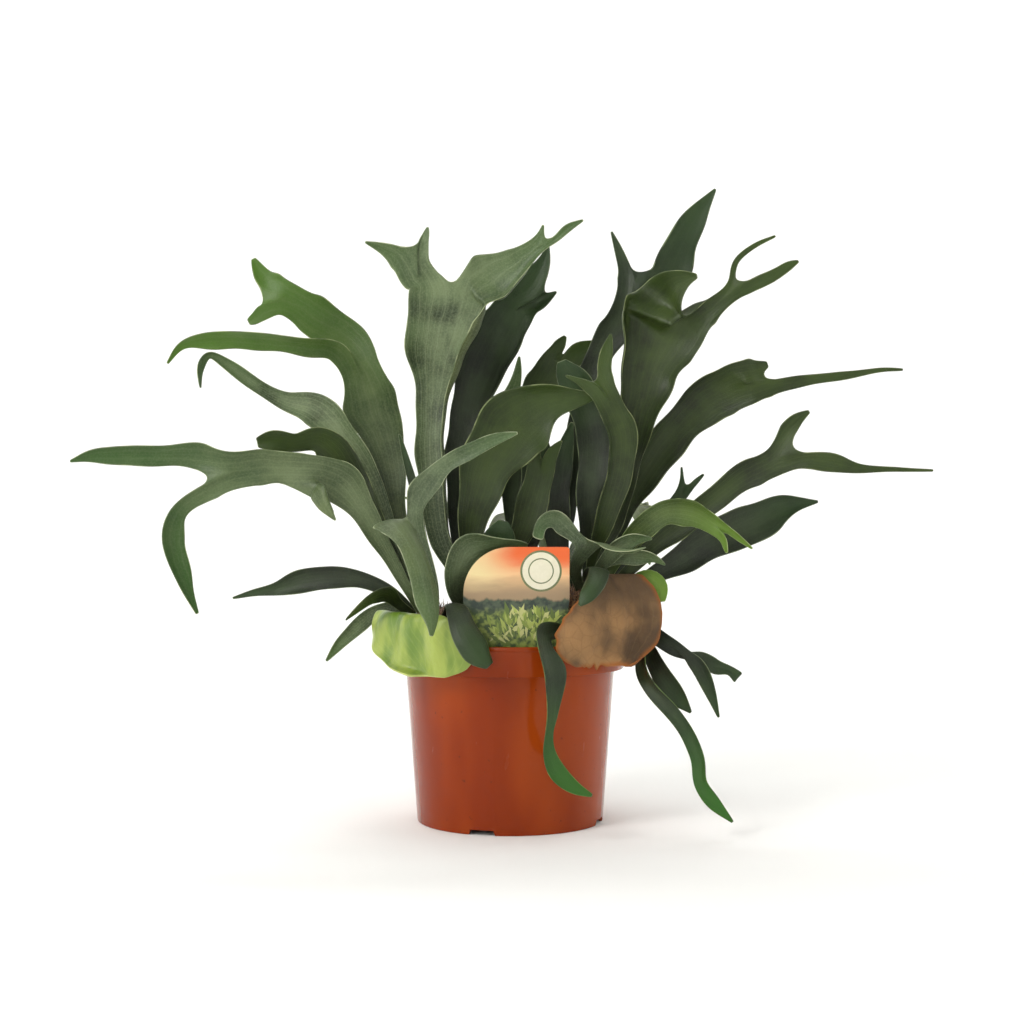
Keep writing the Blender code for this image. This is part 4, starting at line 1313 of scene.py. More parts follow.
@dataclass
class Soil:
    """The peat that fills the pot, with a crumbly top.

    Args:
        rings: Rings of faces across the top.
        spokes: Faces round the axis.
        crumbs: How many loose crumbs lie on top.
        seed: Picks their places.
    """

    rings: int = 26
    spokes: int = 96
    crumbs: int = 420
    seed: int = 7

    def build(self) -> bpy.types.Object:
        """Turn the soil's section, roughen its top and scatter crumbs on it.

        Returns:
            The finished piece.
        """
        low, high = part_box("potting_soil")
        radius = high[0] / MM
        top, floor = high[2] / MM, low[2] / MM
        profile = [(0.0, floor), (radius - 17.5, floor), (radius - 8.0, top - 8.5),
                   (radius - 0.4, top - 6.0), (radius, top - 1.4)]
        for ring in range(self.rings):
            profile.append(((radius - 1.2) * (1.0 - ring / self.rings), top - 0.9))
        profile.append((0.0, top - 0.9))
        bm = bmesh.new()
        revolve(bm, profile, self.spokes)
        for vert in bm.verts:
            if vert.co.z > top - 1.1:
                vert.co.z += 1.6 * noise.fractal(vert.co * 0.11, 1.0, 2.0, 3) - 0.4
        self.scatter(bm, radius - 4.0, top - 0.6)
        return finish_mesh("potting_soil_fill", bm, [PeatMix().build()],
                           "potting_soil")

    def scatter(self, bm: bmesh.types.BMesh, reach: float, top: float) -> None:
        """Lay small angular crumbs over the soil's top.

        Args:
            bm: The soil's mesh.
            reach: How far from the axis they lie, in millimetres.
            top: How high they lie.
        """
        chance = random.Random(self.seed)
        for _ in range(self.crumbs):
            far = reach * math.sqrt(chance.random())
            turn = chance.uniform(0.0, math.tau)
            size = chance.uniform(0.8, 2.1)
            made = bmesh.ops.create_icosphere(bm, subdivisions=1, radius=size)["verts"]
            for vert in made:
                vert.co *= chance.uniform(0.75, 1.25)
            bmesh.ops.translate(bm, vec=(far * math.cos(turn), far * math.sin(turn), top),
                                verts=made)


@dataclass
class Rhizomes:
    """The rhizome tips: domed stubs under a thatch of dry hairy scales.

    Args:
        scales: How many scales cover one tip.
        length: How long a scale is, in millimetres.
        seed: Picks their places.
    """

    scales: int = 340
    length: float = 12.0
    seed: int = 11

    def build(self, crown: Crown, material: bpy.types.Material) -> bpy.types.Object:
        """Build one tip.

        Args:
            crown: Which tip.
            material: Its scaly finish.

        Returns:
            The finished piece.
        """
        node = "rhizome_" + crown.value
        centre, radius, foot = tip_dome(crown)
        bm = bmesh.new()
        bmesh.ops.create_uvsphere(bm, u_segments=40, v_segments=24, radius=radius - 0.8)
        for vert in bm.verts:
            vert.co *= 1.0 + 0.035 * noise.noise(vert.co * 0.22)
            if vert.co.z < 0.0:
                spread = max(vert.co.xy.length, 0.01)
                depth = -vert.co.z / radius
                vert.co.z = -(centre.z - foot) * depth
                grow = min(radius * 0.96, spread * 1.5) / spread
                vert.co.x *= grow
                vert.co.y *= grow
        chance = random.Random(self.seed + int(centre.x))
        for _ in range(self.scales):
            self.add_scale(bm, radius - 1.2, chance)
        bmesh.ops.translate(bm, vec=centre, verts=bm.verts[:])
        return finish_mesh(node + "_stub", bm, [material], node)

    def add_scale(self, bm: bmesh.types.BMesh, radius: float, chance: random.Random) -> None:
        """Lay one narrow pointed scale over the dome, pointing up and out.

        Args:
            bm: The tip's mesh, with its dome at the origin.
            radius: The dome's radius, in millimetres.
            chance: Where its place and size come from.
        """
        lift = chance.uniform(-0.35, 0.98)
        turn = chance.uniform(0.0, math.tau)
        flat = math.sqrt(1.0 - lift * lift)
        outward = Vector((flat * math.cos(turn), flat * math.sin(turn), lift))
        grow = Vector((chance.uniform(-0.5, 0.5), chance.uniform(-0.5, 0.5), 1.0))
        grow = (grow - outward * (grow.dot(outward) - chance.uniform(0.1, 0.6))).normalized()
        made = bmesh.ops.create_cone(bm, segments=4, radius1=0.8, radius2=0.08,
                                     depth=self.length * chance.uniform(0.6, 1.1))["verts"]
        bmesh.ops.scale(bm, vec=(1.0, 0.4, 1.0), verts=made)
        turn_to = grow.to_track_quat("Z", "Y").to_matrix()
        bmesh.ops.rotate(bm, cent=(0, 0, 0), matrix=turn_to, verts=made)
        bmesh.ops.translate(bm, vec=outward * (radius + 0.5) + grow * self.length * 0.3,
                            verts=made)


@dataclass
class PlantLabel:
    """A thin printed card: evening sky over hills and leaves, on a stake in the soil.

    Args:
        shoulder: Radius of the card's round upper left corner, in millimetres, as are the rest.
        neck: Height where the card's right side starts to narrow.
        left_foot: (x, z) down the card's left foot, after its left side.
        stake_top: Height where the stake leaves the card on the left.
        right_foot: (x, z) up the card's right foot, from the stake.
        stake_half: Half the stake's width.
        stake_tip: Half the width of its tip.
        stake_depth: How deep it goes into the soil.
        stake_x: Where it stands across the plant.
        badge: The sticker's centre (x, z) and its radius.
        leaves: How many leaves are printed.
    """

    shoulder: float = 36.0
    neck: float = 182.0
    left_foot: tuple = ((-34.0, 158.0), (-28.0, 150.0), (-16.0, 146.0), (8.0, 145.0))
    stake_top: float = 143.0
    right_foot: tuple = ((40.5, 146.0), (42.0, 156.0), (44.5, 170.0))
    stake_half: float = 11.5
    stake_tip: float = 5.2
    stake_depth: float = 19.0
    stake_x: float = 29.0
    badge: tuple[float, float, float] = (24.0, 204.0, 16.0)
    leaves: int = 110

    def build(self) -> None:
        """Cut the card's outline, give it thickness and rounded edges, and print it."""
        low, high = (Vector(corner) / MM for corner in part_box("plant_label"))
        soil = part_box("potting_soil")[1][2] / MM
        middle = (low.y + high.y) * 0.5
        shoulder = self.shoulder
        outline = [(high.x, self.neck), (high.x, high.z - 2.0), (high.x - 0.6, high.z - 0.6),
                   (high.x - 2.0, high.z)]
        for index in range(17):
            turn = math.radians(90.0 + 90.0 * index / 16)
            outline.append((low.x + shoulder + shoulder * math.cos(turn),
                            high.z - shoulder + shoulder * math.sin(turn)))
        outline += [(low.x, 166.0), *self.left_foot,
                    (self.stake_x - self.stake_half, self.stake_top),
                    (self.stake_x - self.stake_half, soil),
                    (self.stake_x - self.stake_tip, soil - self.stake_depth),
                    (self.stake_x + self.stake_tip, soil - self.stake_depth),
                    (self.stake_x + self.stake_half, soil), *self.right_foot]
        thick = high.y - low.y
        bm = bmesh.new()
        front = middle - thick * 0.5
        face = bm.faces.new([bm.verts.new((x, front, z)) for x, z in outline])
        made = bmesh.ops.extrude_face_region(bm, geom=[face])["geom"]
        moved = [item for item in made if isinstance(item, bmesh.types.BMVert)]
        bmesh.ops.translate(bm, vec=(0.0, thick, 0.0), verts=moved)
        bmesh.ops.recalc_face_normals(bm, faces=bm.faces[:])
        card = finish_mesh("plant_label_card", bm, [PrintedCard().build()],
                           "plant_label")
        card.data.set_sharp_from_angle(angle=math.radians(40.0))
        self.print_badge(front)
        self.print_leaves(front)

    def print_badge(self, front: float) -> None:
        """Print a plain round sticker with a green border, left bare inside.

        Args:
            front: Where the card's face is along Y, in millimetres.
        """
        x, z, radius = self.badge
        green, cream, grain = "59683c", "efe9d2", "b8b48c"
        rings = (("border", 1.0, green), ("field", 0.9, cream), ("line", 0.62, green),
                 ("centre", 0.56, cream))
        for index, (name, part, colour) in enumerate(rings):
            proud = 0.05 + 0.03 * index
            reach = radius * part
            bm = bmesh.new()
            bmesh.ops.create_circle(bm, cap_ends=True, segments=64, radius=reach)
            bmesh.ops.rotate(bm, cent=(0, 0, 0), matrix=Matrix.Rotation(math.pi / 2, 3, "X"),
                             verts=bm.verts[:])
            bmesh.ops.translate(bm, vec=(x, front - proud, z), verts=bm.verts[:])
            ink = Ink("sticker_ink_" + name, colour, grain).build()
            finish_mesh("label_sticker_" + name, bm, [ink])

    def print_leaves(self, front: float) -> None:
        """Print a clump of small pointed leaves along the card's foot.

        Args:
            front: Where the card's face is along Y, in millimetres.
        """
        chance = random.Random(5)
        inks = [Ink(f"leaf_ink_{index + 1}", colour, "4f6a2c").build() for index, colour in
                enumerate(("8b9c3f", "b3bf5c", "62752f", "cfcf86"))]
        bm = bmesh.new()
        for index in range(self.leaves):
            x = chance.uniform(-16.0, 36.0)
            z = 149.0 + chance.uniform(0.0, 22.0) - 0.010 * (x - 16.0) ** 2
            lean = chance.uniform(-1.0, 1.0)
            long = chance.uniform(7.0, 14.0)
            wide = chance.uniform(0.9, 2.0)
            ahead = Vector((math.sin(lean), 0.0, math.cos(lean)))
            side = Vector((ahead.z, 0.0, -ahead.x))
            foot = Vector((x, front - 0.06 - 0.0006 * index, z))
            shape = [foot, foot + ahead * long * 0.5 + side * wide, foot + ahead * long,
                     foot + ahead * long * 0.5 - side * wide]
            face = bm.faces.new([bm.verts.new(spot) for spot in shape])
            face.material_index = chance.randrange(4)
        for face in bm.faces:
            face.normal_update()
            if face.normal.y > 0.0:
                face.normal_flip()
        finish_mesh("label_printed_leaves", bm, inks)


@dataclass
class Studio:
    """A pale round cyclorama, soft lights and the camera, in metres.

    Args:
        distance: How far in front of the pot's axis the camera stands.
        height: How high it stands.
        across: How far to the right it stands.
        lens: Its focal length, in millimetres.
        middle: Radius of the floor's inner ring.
        flat: Radius of the flat floor.
        sweep: Radius of the curve from the floor up to the wall.
        wall: How high the wall goes.
        steps: Faces round the floor.
    """

    distance: float = 1.35
    height: float = 0.2495
    across: float = 0.0016
    lens: float = 58.3
    middle: float = 0.9
    flat: float = 1.7
    sweep: float = 0.9
    wall: float = 4.5
    steps: int = 96

    def build(self) -> None:
        """Set up the floor, the lights and the camera."""
        self.floor()
        self.light("key", (-1.5, -1.5, 1.8), (0.9, 0.9), 30.0, (1.0, 0.985, 0.965))
        self.light("left", (-2.0, 0.1, 0.6), (0.5, 1.6), 3.5, (1.0, 1.0, 1.0))
        self.light("right", (2.0, -0.3, 0.8), (0.5, 1.4), 1.0, (0.97, 0.98, 1.0))
        self.light("front", (-0.5, -2.4, 0.5), (0.3, 1.2), 4.0, (1.0, 1.0, 1.0))
        self.light("overhead", (0.2, 0.1, 2.2), (1.6, 1.2), 10.5, (1.0, 1.0, 1.0))
        self.light("backdrop", (0.0, 1.5, 3.0), (3.0, 0.6), 38.0, (1.0, 1.0, 1.0),
                   (0.0, 2.5, 0.4))
        world = bpy.data.worlds.new("studio_air")
        world.use_nodes = True
        back = world.node_tree.nodes["Background"]
        back.inputs[0].default_value = (1.0, 1.0, 1.0, 1.0)
        back.inputs[1].default_value = 0.06
        bpy.context.scene.world = world
        bpy.context.scene.view_settings.view_transform = "Standard"
        camera = bpy.data.cameras.new("camera")
        camera.lens = self.lens
        camera.sensor_width = 36.0
        holder = bpy.data.objects.new("camera", camera)
        holder.location = (self.across, -self.distance, self.height)
        holder.rotation_euler = (math.pi / 2, 0.0, 0.0)
        bpy.context.collection.objects.link(holder)
        bpy.context.scene.camera = holder

    def floor(self) -> None:
        """A round floor that curves up into walls on every side."""
        bm = bmesh.new()
        profile = [(0.0, 0.0), (self.middle, 0.0), (self.flat, 0.0)]
        for index in range(1, 13):
            turn = math.radians(90.0 * index / 12)
            profile.append((self.flat + self.sweep * math.sin(turn),
                            self.sweep - self.sweep * math.cos(turn)))
        profile.append((self.flat + self.sweep, self.wall))
        revolve(bm, profile, self.steps)
        bmesh.ops.reverse_faces(bm, faces=bm.faces[:])
        mesh = bpy.data.meshes.new("studio_floor")
        bm.to_mesh(mesh)
        bm.free()
        mesh.shade_smooth()
        floor = bpy.data.objects.new("studio_floor", mesh)
        bpy.context.collection.objects.link(floor)
        material, _tree, shader = start_material("matt_white_board")
        shader.inputs["Base Color"].default_value = linear("f8f8f6")
        shader.inputs["Roughness"].default_value = 0.9
        mesh.materials.append(material)

    def light(self, name: str, place: tuple[float, float, float], size: tuple[float, float],
              power: float, colour: tuple[float, float, float],
              aim: tuple[float, float, float] = (0.0, 0.0, 0.25)) -> None:
        """Hang one soft light.

        Args:
            name: The light's name.
            place: Where it hangs.
            size: Its width and height.
            power: Its power in watts.
            colour: Its linear colour.
            aim: What it is turned to.
        """
        lamp = bpy.data.lights.new(name, "AREA")
        lamp.shape = "RECTANGLE"
        lamp.size, lamp.size_y = size
        lamp.energy = power
        lamp.color = colour
        holder = bpy.data.objects.new(name, lamp)
        holder.location = place
        holder.rotation_mode = "QUATERNION"
        holder.rotation_quaternion = (Vector(aim) - Vector(place)).to_track_quat("-Z", "Y")
        bpy.context.collection.objects.link(holder)


# ---- the layout ---------------------------------------------------------------------------------
def left_fronds() -> dict[str, FrondSpec]:
    """List the fronds that grow on the left rhizome tip.

    Returns:
        The frond's name to its spec.
    """
    return {
        "frond_left_arch": FrondSpec(Crown.LEFT, Lobe([
            (-82, -8, 208, 4.5), (-91, -3, 253, 6.5), (-99, 4, 296, 15.6), (-112, 8, 333, 22.1),
            (-120, 4, 362, 18.7)
        ], [
            Lobe([
                (-140, -14, 379, 10), (-168, -28, 383, 8), (-206, -34, 386, 9.5),
                (-245, -32, 386, 7), (-263, -28, 381, 3.5), (-274, -24, 368, 1)
            ]),
            Lobe([
                (-130, 2, 391, 15), (-158, -2, 407, 17), (-180, -2, 422, 16.5)
            ], [
                Lobe([(-200, -6, 409, 9), (-212, -8, 403, 3)]),
                Lobe([(-197, 0, 438, 9), (-205, 0, 449, 5), (-209, 0, 456, 2)]),
            ], web=24.0),
        ], web=14.0), LIME_TIPPED, columns=4),
        "frond_left_middle": FrondSpec(Crown.LEFT, Lobe([
            (-86, -20, 208, 4), (-101, -14, 250, 6.5), (-114, -6, 279, 9.5), (-135, -8, 309, 12),
            (-159, -4, 334, 15), (-183, 0, 340, 8), (-208, 2, 353, 6), (-229, 0, 369, 5),
            (-244, -6, 377, 3), (-250, -14, 366, 4.5), (-249, -16, 349, 1)
        ]), FELTY, ruffle=0.8),
        "frond_left_long": FrondSpec(Crown.LEFT, Lobe([
            (-84, -40, 194, 4.5), (-99, -48, 223, 7), (-115, -54, 250, 11), (-132, -60, 272, 17),
            (-149, -66, 281, 17)
        ], [
            Lobe([
                (-152, -74, 268, 14), (-147, -78, 260, 9), (-140, -81, 251, 5),
                (-133, -83, 243, 1)
            ]),
            Lobe([
                (-170, -66, 284, 14), (-192, -68, 285, 15.5), (-212, -70, 282, 15.5)
            ], [
                Lobe([
                    (-236, -76, 263, 7), (-254, -84, 248, 8), (-257, -92, 227, 10),
                    (-247, -94, 198, 7.5), (-237, -92, 172, 1.5)
                ]),
                Lobe([
                    (-239, -72, 293, 11.5), (-270, -76, 293, 9), (-303, -80, 293, 7.5),
                    (-321, -82, 292, 5), (-336, -84, 288, 1)
                ]),
            ], web=16.0),
        ], shares=(1, 3), cup=0.3, web=58.0), GREEN_TIPPED, columns=4, ruffle=0.8),
        "frond_left_curl": FrondSpec(Crown.LEFT, Lobe([
            (-86, -30, 202, 4.4), (-103, -36, 235, 7.2), (-120, -40, 267, 11.6),
            (-137, -44, 297, 13.8), (-152, -48, 307, 11.0), (-168, -50, 303, 8.8),
            (-185, -52, 306, 8.8), (-198, -52, 304, 3.9)
        ]), OLIVE, ruffle=1.8),
        "frond_left_spear": FrondSpec(Crown.LEFT, Lobe([
            (-94, -18, 184, 5), (-119, -18, 195, 8), (-144, -16, 197, 10.5), (-166, -14, 194, 10),
            (-189, -12, 187, 6), (-208, -12, 184, 3), (-224, -12, 180, 1)
        ], cup=0.5), DARK),
        "frond_left_short": FrondSpec(Crown.LEFT, Lobe([
            (-90, -26, 177, 4.5), (-98, -38, 186, 7.5), (-107, -47, 184, 9.5),
            (-117, -53, 175, 6), (-128, -58, 165, 1)
        ]), OLIVE, ruffle=1.2),
        "frond_left_droop": FrondSpec(Crown.LEFT, Lobe([
            (-90, -4, 172, 4.5), (-108, 0, 168, 6.5), (-123, -6, 157, 7), (-135, -18, 145, 5),
            (-146, -32, 131, 1)
        ]), FELTY),
        "frond_front_fork": FrondSpec(Crown.LEFT, Lobe([
            (-60, -54, 190, 4.5), (-66, -62, 212, 7), (-76, -64, 235, 12), (-81, -67, 249, 19)
        ], [
            Lobe([
                (-86, -77, 244, 19), (-81, -88, 234, 16.5), (-69, -98, 212, 14.5),
                (-62, -103, 190, 13.5), (-58, -106, 170, 7.5), (-59, -106, 156, 2)
            ]),
            Lobe([
                (-67, -70, 266, 11), (-50, -74, 286, 7), (-27, -78, 298, 6.5),
                (-8, -81, 306, 4.5), (6, -82, 310, 1)
            ]),
        ]), GREYER, columns=4, ruffle=0.8),
        "frond_front_dark": FrondSpec(Crown.LEFT, Lobe([
            (-48, -52, 174, 4.5), (-44, -74, 180, 6), (-39, -95, 173, 9), (-31, -107, 157, 12.5),
            (-22, -111, 144, 12.5), (-14, -111, 135, 4.5)
        ], cup=-0.4), DARK, face=(0.0, 0.0, 1.0), ruffle=2.2),
    }


def middle_fronds() -> dict[str, FrondSpec]:
    """List the fronds that grow on the middle rhizome tip.

    Returns:
        The frond's name to its spec.
    """
    return {
        "frond_centre_tall": FrondSpec(Crown.MIDDLE, Lobe([
            (-42, -12, 198, 6.2), (-56, -7, 230, 10.1), (-63, 0, 276, 12.9), (-64, 6, 325, 14.0),
            (-61, 8, 366, 21.8), (-54, 6, 402, 34.7), (-46, 2, 428, 47.0)
        ], [
            Lobe([
                (-75, 2, 440, 19)
            ], [
                Lobe([(-90, 2, 455, 10), (-104, 0, 464, 5), (-118, -2, 469, 1)]),
                Lobe([(-71, 2, 462, 8), (-67, 2, 482, 1)]),
            ], web=30.0),
            Lobe([
                (-15, -2, 436, 23), (6, -6, 452, 14.5), (20, -8, 463, 9)
            ], [
                Lobe([(25, -8, 473, 4.5), (27, -8, 482, 1)]),
                Lobe([(36, -10, 469, 3), (47, -14, 478, 3.5), (59, -18, 484, 1)]),
            ], roll=(0.0, 1.6)),
        ], cup=0.45, roll=(0.0, 2.2), web=40.0), FELTY, columns=4),
        "frond_centre_dark": FrondSpec(Crown.MIDDLE, Lobe([
            (-30, 2, 192, 6.2), (-39, 14, 235, 11.2), (-39, 24, 293, 14.4), (-30, 32, 347, 18.8),
            (-12, 36, 393, 25.0), (4, 36, 417, 25.0)
        ], [
            Lobe([(15, 34, 438, 13.5), (28, 32, 458, 6.5), (32, 30, 471, 1)]),
            Lobe([(17, 38, 419, 8.5), (28, 38, 426, 6), (39, 38, 434, 1)]),
        ], roll=(0.0, 1.2), web=30.0), DARK),
        "frond_centre_broad": FrondSpec(Crown.MIDDLE, Lobe([
            (-28, -22, 196, 4), (-32, -28, 227, 9), (-26, -34, 262, 17), (-12, -38, 296, 26),
            (6, -42, 322, 31), (30, -46, 336, 17), (50, -48, 339, 9), (62, -48, 340, 5),
            (70, -48, 342, 2)
        ]), OLIVE),
        "frond_front_wavy": FrondSpec(Crown.MIDDLE, Lobe([
            (-36, -38, 176, 6.1), (-42, -50, 192, 10.8), (-40, -58, 210, 16.2),
            (-31, -62, 224, 18.9), (-16, -62, 227, 13.5), (2, -62, 225, 8.1), (14, -62, 223, 2.7)
        ]), GREYER, ruffle=2.0),
        "frond_front_round": FrondSpec(Crown.MIDDLE, Lobe([
            (-12, -34, 182, 4), (-13, -46, 208, 9.5), (-8, -50, 228, 15.5), (-6, -52, 238, 10),
            (-5, -52, 243, 4)
        ]), DARK),
    }


def right_fronds() -> dict[str, FrondSpec]:
    """List the fronds that grow on the right rhizome tip.

    Returns:
        The frond's name to its spec.
    """
    return {
        "frond_mid_right": FrondSpec(Crown.RIGHT, Lobe([
            (66, -22, 214, 4.5), (72, -33, 234, 7), (80, -42, 257, 10), (87, -48, 283, 12),
            (88, -52, 310, 12), (78, -54, 334, 12)
        ], [
            Lobe([(62, -56, 346, 5.5), (53, -56, 352, 3), (43, -56, 356, 1)]),
            Lobe([(74, -54, 357, 6.5), (76, -54, 375, 5.5), (79, -54, 389, 1)]),
        ], roll=(1.0, 0.0), web=10.0), OLIVE),
        "frond_mid_dark": FrondSpec(Crown.RIGHT, Lobe([
            (62, -12, 214, 4.5), (62, -20, 240, 7), (64, -26, 272, 12), (67, -26, 303, 14.5),
            (62, -28, 332, 14.5), (51, -30, 352, 15), (44, -30, 363, 10), (41, -30, 370, 4)
        ]), DARK),
        "frond_right_tall": FrondSpec(Crown.RIGHT, Lobe([
            (71, -2, 214, 7.0), (84, 2, 246, 10.2), (94, 2, 284, 12.8), (103, 2, 329, 16.6),
            (112, 0, 365, 26.9), (126, -4, 400, 39.7)
        ], [
            Lobe([
                (122, -8, 421, 22), (132, -16, 433, 15), (144, -24, 438, 6), (150, -28, 438, 2)
            ]),
            Lobe([
                (154, -6, 408, 14), (172, -8, 421, 8.5)
            ], [
                Lobe([
                    (178, -8, 434, 2.8), (183, -6, 452, 2.5), (199, -4, 466, 2.4),
                    (216, -2, 474, 1)
                ]),
                Lobe([
                    (190, -10, 429, 5), (211, -12, 439, 5.5), (226, -12, 449, 4),
                    (233, -12, 452, 1)
                ]),
            ], web=14.0),
        ], roll=(1.6, 0.0), web=48.0), OLIVE, columns=4, ruffle=1.4),
        "frond_right_wide": FrondSpec(Crown.RIGHT, Lobe([
            (82, 10, 212, 5.0), (92, 16, 244, 8.2), (108, 16, 276, 12.7), (130, 18, 308, 16.5),
            (158, 18, 337, 19.8), (188, 16, 355, 22.0)
        ], [
            Lobe([(203, 14, 368, 7.5), (212, 12, 371, 3)]),
            Lobe([
                (215, 14, 352, 7.5), (242, 12, 357, 5), (278, 10, 362, 3.5), (304, 8, 366, 2),
                (322, 8, 366, 1)
            ]),
        ], roll=(0.9, 0.0), web=20.0), OLIVE, ruffle=1.3),
        "frond_right_long": FrondSpec(Crown.RIGHT, Lobe([
            (92, -28, 200, 5.2), (112, -35, 221, 8.0), (136, -40, 240, 9.8),
            (161, -44, 259, 10.3), (188, -46, 279, 12.1), (210, -46, 290, 13.8)
        ], [
            Lobe([(215, -42, 309, 7), (225, -40, 321, 6), (237, -38, 329, 1.5)]),
            Lobe([
                (232, -48, 290, 6.5), (251, -50, 288, 8.5), (272, -50, 284, 4.5),
                (302, -50, 283, 2), (332, -50, 282, 1)
            ]),
        ], web=16.0), OLIVE, ruffle=1.4),
        "frond_right_spear": FrondSpec(Crown.RIGHT, Lobe([
            (98, -10, 190, 4.5), (118, -12, 200, 8), (142, -10, 214, 14), (169, -8, 229, 17.5),
            (195, -6, 240, 18.5), (216, -4, 251, 13), (234, -2, 256, 6), (251, 0, 258, 1)
        ], cup=0.5), DARK),
        "frond_right_lime": FrondSpec(Crown.RIGHT, Lobe([
            (84, -18, 208, 4.8), (92, -34, 224, 7.2), (104, -48, 239, 9.6), (123, -56, 251, 11.4),
            (144, -62, 249, 13.2), (158, -66, 240, 10.8)
        ], [
            Lobe([(175, -70, 231, 3), (187, -72, 221, 1)]),
            Lobe([(164, -72, 231, 4.5), (167, -76, 218, 1.5)]),
        ]), FRESH),
        "frond_right_spikes": FrondSpec(Crown.RIGHT, Lobe([
            (90, -4, 206, 3.5), (114, -8, 235, 5), (130, -12, 253, 6.5), (138, -14, 262, 6.5)
        ], [
            Lobe([(139, -16, 274, 2.5), (138, -16, 286, 1)]),
            Lobe([(147, -16, 271, 3), (156, -16, 280, 1)]),
        ]), DARK),
        "frond_front_right": FrondSpec(Crown.RIGHT, Lobe([
            (52, -34, 200, 5.2), (52, -46, 207, 8.0), (56, -54, 214, 11.5), (63, -60, 221, 16.1)
        ], [
            Lobe([
                (46, -62, 235, 9), (33, -66, 244, 7), (24, -72, 240, 6), (21, -77, 229, 5)
            ]),
            Lobe([(76, -69, 222, 9), (92, -76, 221, 6), (104, -80, 223, 2)]),
        ], web=24.0), GREYER, ruffle=2.0),
        "frond_right_curl": FrondSpec(Crown.RIGHT, Lobe([
            (70, -32, 204, 4), (77, -46, 214, 6.5), (85, -58, 223, 8.5), (97, -64, 229, 6.5),
            (110, -68, 229, 1.5)
        ]), GREYER, ruffle=1.5),
        "frond_hanging": FrondSpec(Crown.RIGHT, Lobe([
            (58, -44, 158, 5.0), (54, -60, 156, 5.0), (46, -76, 156, 5.6), (34, -85, 159, 7.5),
            (26, -96, 158, 9.4), (27, -105, 146, 10.6), (31, -108, 130, 10.6),
            (32, -107, 115, 8.8), (31, -107, 97, 5.0), (29, -107, 84, 3.8), (29, -107, 69, 5.6),
            (35, -107, 54, 6.9), (47, -107, 44, 5.6), (62, -107, 37, 1.2)
        ], twist=85.0), GREEN_ENDED, face=(1.0, 0.0, 0.0)),
        "frond_droop_long": FrondSpec(Crown.RIGHT, Lobe([
            (98, -22, 164, 4), (104, -36, 146, 5), (103, -52, 126, 6), (109, -66, 112, 6),
            (125, -75, 96, 6), (138, -78, 76, 6), (144, -80, 60, 6), (145, -82, 43, 6),
            (156, -84, 28, 6), (170, -86, 13, 1)
        ]), GREEN_ENDED),
        "frond_droop_broad": FrondSpec(Crown.RIGHT, Lobe([
            (100, -10, 160, 4), (110, -26, 142, 6), (119, -40, 121, 9.5), (131, -46, 105, 8.5),
            (142, -50, 92, 1)
        ]), DARK),
        "frond_droop_fork": FrondSpec(Crown.RIGHT, Lobe([
            (99, 2, 166, 4), (114, -8, 152, 6.5), (132, -14, 140, 9)
        ], [
            Lobe([(150, -20, 126, 7), (160, -22, 106, 5), (167, -24, 85, 1)]),
            Lobe([
                (155, -6, 131, 5.5), (167, -2, 123, 6.5), (178, 0, 121, 4), (186, 2, 114, 6)
            ]),
        ]), DARK),
        "shield_frond_lime": FrondSpec(Crown.RIGHT, Lobe([
            (96, -20, 186, 6), (104, -23, 193, 10), (111, -24, 194, 11), (117, -24, 187, 10),
            (119, -24, 177, 5)
        ], cup=-0.2), YOUNG_LIME, columns=4),
    }


